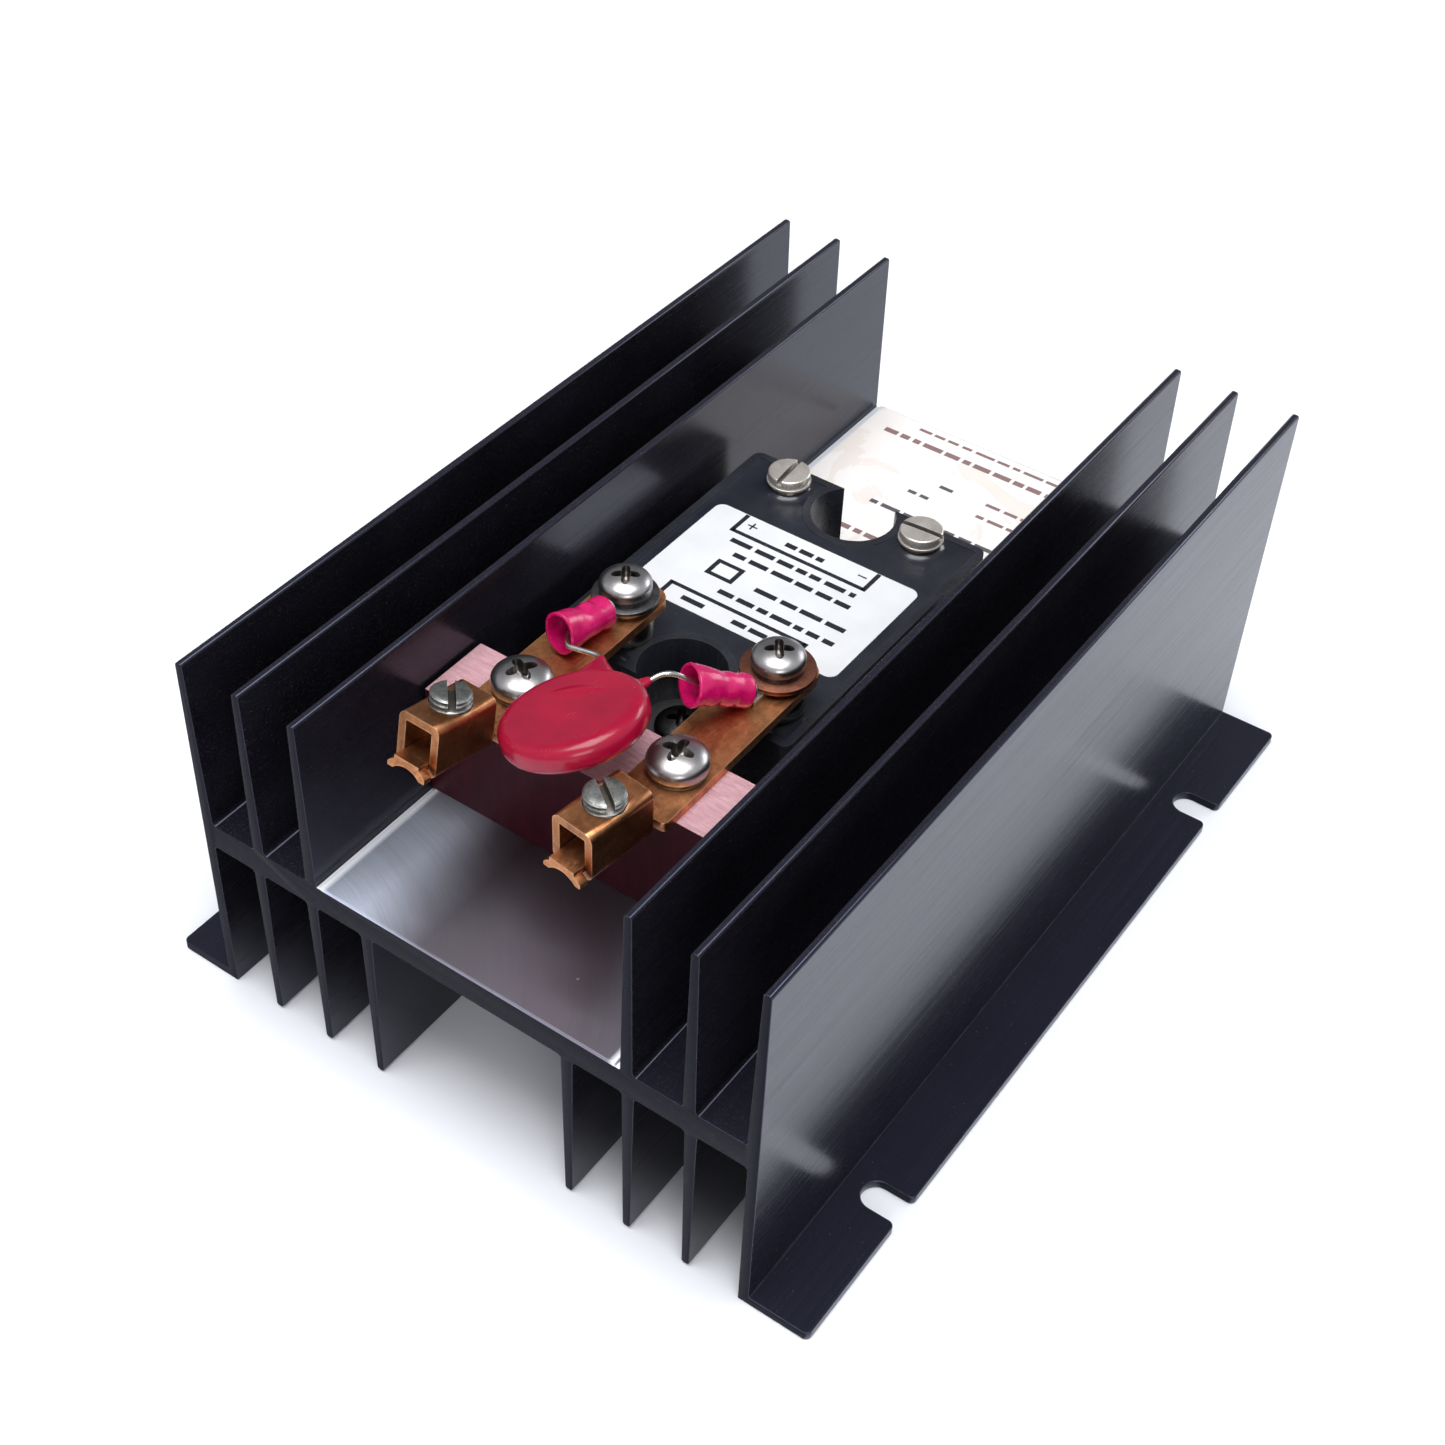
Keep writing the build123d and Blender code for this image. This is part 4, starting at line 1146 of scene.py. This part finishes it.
def bent_lead(side):
    """A bare wire from the disc's rim, over its bends and into the sleeve's barrel."""
    node = "varistor_lead_" + side
    centre, along, length = sleeve_line(side)
    corners = [Vector(point) for point in LEAD_BENDS[side]]
    corners += [centre + along * (length / 2 - 2.5), centre + along * (3.0 - length / 2)]
    path = rounded_path(corners, LEAD_BEND_REACH[side])
    section = [Vector((LEAD_RADIUS * math.cos(a), LEAD_RADIUS * math.sin(a), 0)) for a in circle(20)]
    rings = []
    across = Vector((0, 0, 1))
    for k, point in enumerate(path):
        heading = path[min(k + 1, len(path) - 1)] - path[max(k - 1, 0)]
        place = turned_frame(point, heading, across)
        across = place.to_3x3() @ Vector((1, 0, 0))
        rings.append([place @ corner for corner in section])
    stand_in(tidy(loft(node + "_wire", rings), 60), node)


# ======== studio
def pale_floor():
    """A plain pale floor just under the feet."""
    reach, height = 4000, -0.05
    corners = [(-reach, -reach), (reach, -reach), (reach, reach), (-reach, reach)]
    floor = make("floor", [(x, y, height) for x, y in corners], [(0, 1, 2, 3)])
    paint = bpy.data.materials.new("floor")
    paint.use_nodes = True
    surface = paint.node_tree.nodes["Principled BSDF"].inputs
    surface["Base Color"].default_value = (0.88, 0.895, 0.95, 1)
    surface["Roughness"].default_value = 0.7
    surface["Specular IOR Level"].default_value = 0.2
    floor.data.materials.append(paint)


def soft_box(name, place, aim, width, height, power, colour=(1, 1, 1)):
    light = bpy.data.lights.new(name, "AREA")
    light.shape = "RECTANGLE"
    light.size = width
    light.size_y = height
    light.energy = power
    light.color = colour
    lamp = in_scene(name, light)
    lamp.location = place
    lamp.rotation_euler = (Vector(aim) - Vector(place)).to_track_quat("-Z", "Y").to_euler()


def studio_light():
    """An even pale surround, brighter overhead, with soft boxes above, in front and behind."""
    world = bpy.data.worlds.new("studio")
    bpy.context.scene.world = world
    world.use_nodes = True
    nodes, links = world.node_tree.nodes, world.node_tree.links
    direction = nodes.new("ShaderNodeTexCoord")
    split = nodes.new("ShaderNodeSeparateXYZ")
    links.new(direction.outputs["Generated"], split.inputs[0])
    ramp = nodes.new("ShaderNodeValToRGB")
    stops = ramp.color_ramp.elements
    stops[0].position, stops[0].color = 0.0, (0.62, 0.63, 0.66, 1)
    stops[1].position, stops[1].color = 0.85, (0.95, 0.97, 1.0, 1)
    links.new(split.outputs["Z"], ramp.inputs[0])
    toward_back = nodes.new("ShaderNodeVectorMath")
    toward_back.operation = "DOT_PRODUCT"
    toward_back.inputs[1].default_value = (-0.41, 0.6, 0.68)
    links.new(direction.outputs["Generated"], toward_back.inputs[0])
    shade = nodes.new("ShaderNodeMapRange")
    for name, value in (("From Min", 0.55), ("From Max", 0.92), ("To Min", 0.72), ("To Max", 0.26)):
        shade.inputs[name].default_value = value
    links.new(toward_back.outputs["Value"], shade.inputs["Value"])
    links.new(ramp.outputs[0], nodes["Background"].inputs["Color"])
    links.new(shade.outputs[0], nodes["Background"].inputs["Strength"])
    target = (0, 0, 0.04)
    soft_box("overhead", (0.02, -0.12, 0.95), target, 0.7, 0.6, 9.0)
    soft_box("front", (0.65, -0.75, 0.45), target, 0.5, 0.35, 2.6, (1.0, 0.985, 0.96))
    soft_box("back", (0.35, 1.0, 0.5), target, 0.5, 0.3, 2.5, (0.93, 0.96, 1.0))


def camera():
    """The camera, from its azimuth, elevation and roll."""
    azimuth, elevation, roll = [math.radians(a) for a in (CAMERA_AZIMUTH, CAMERA_ELEVATION, CAMERA_ROLL)]
    level = math.cos(elevation)
    forward = Vector((-math.sin(azimuth) * level, math.cos(azimuth) * level, -math.sin(elevation)))
    across = forward.cross(Vector((0, 0, 1))).normalized()
    above = across.cross(forward)
    right = across * math.cos(roll) + above * math.sin(roll)
    up = above * math.cos(roll) - across * math.sin(roll)
    lens = bpy.data.cameras.new("camera")
    lens.sensor_width = 36
    lens.lens = CAMERA_LENS
    lens.shift_x, lens.shift_y = CAMERA_SHIFT
    lens.clip_start = 0.01
    lens.clip_end = 20
    eye = in_scene("camera", lens)
    place = Matrix((right, up, -forward)).transposed().to_4x4()
    place.translation = CAMERA_PLACE
    eye.matrix_world = place
    bpy.context.scene.camera = eye


# ======== everything together
keep_cad_nodes()
for each_side in SIDES:
    fasteners(each_side)
    sleeve(each_side)
    bent_lead(each_side)
pan_screw("relay_mounting_screw", top("relay_baseplate"), NO8_RADIUS, 30)
two_block_fixings("block_fixing_screws")
potting()
label_print()
sticker_print()
varistor()
pale_floor()
studio_light()
camera()
bpy.context.scene.view_settings.view_transform = "Standard"
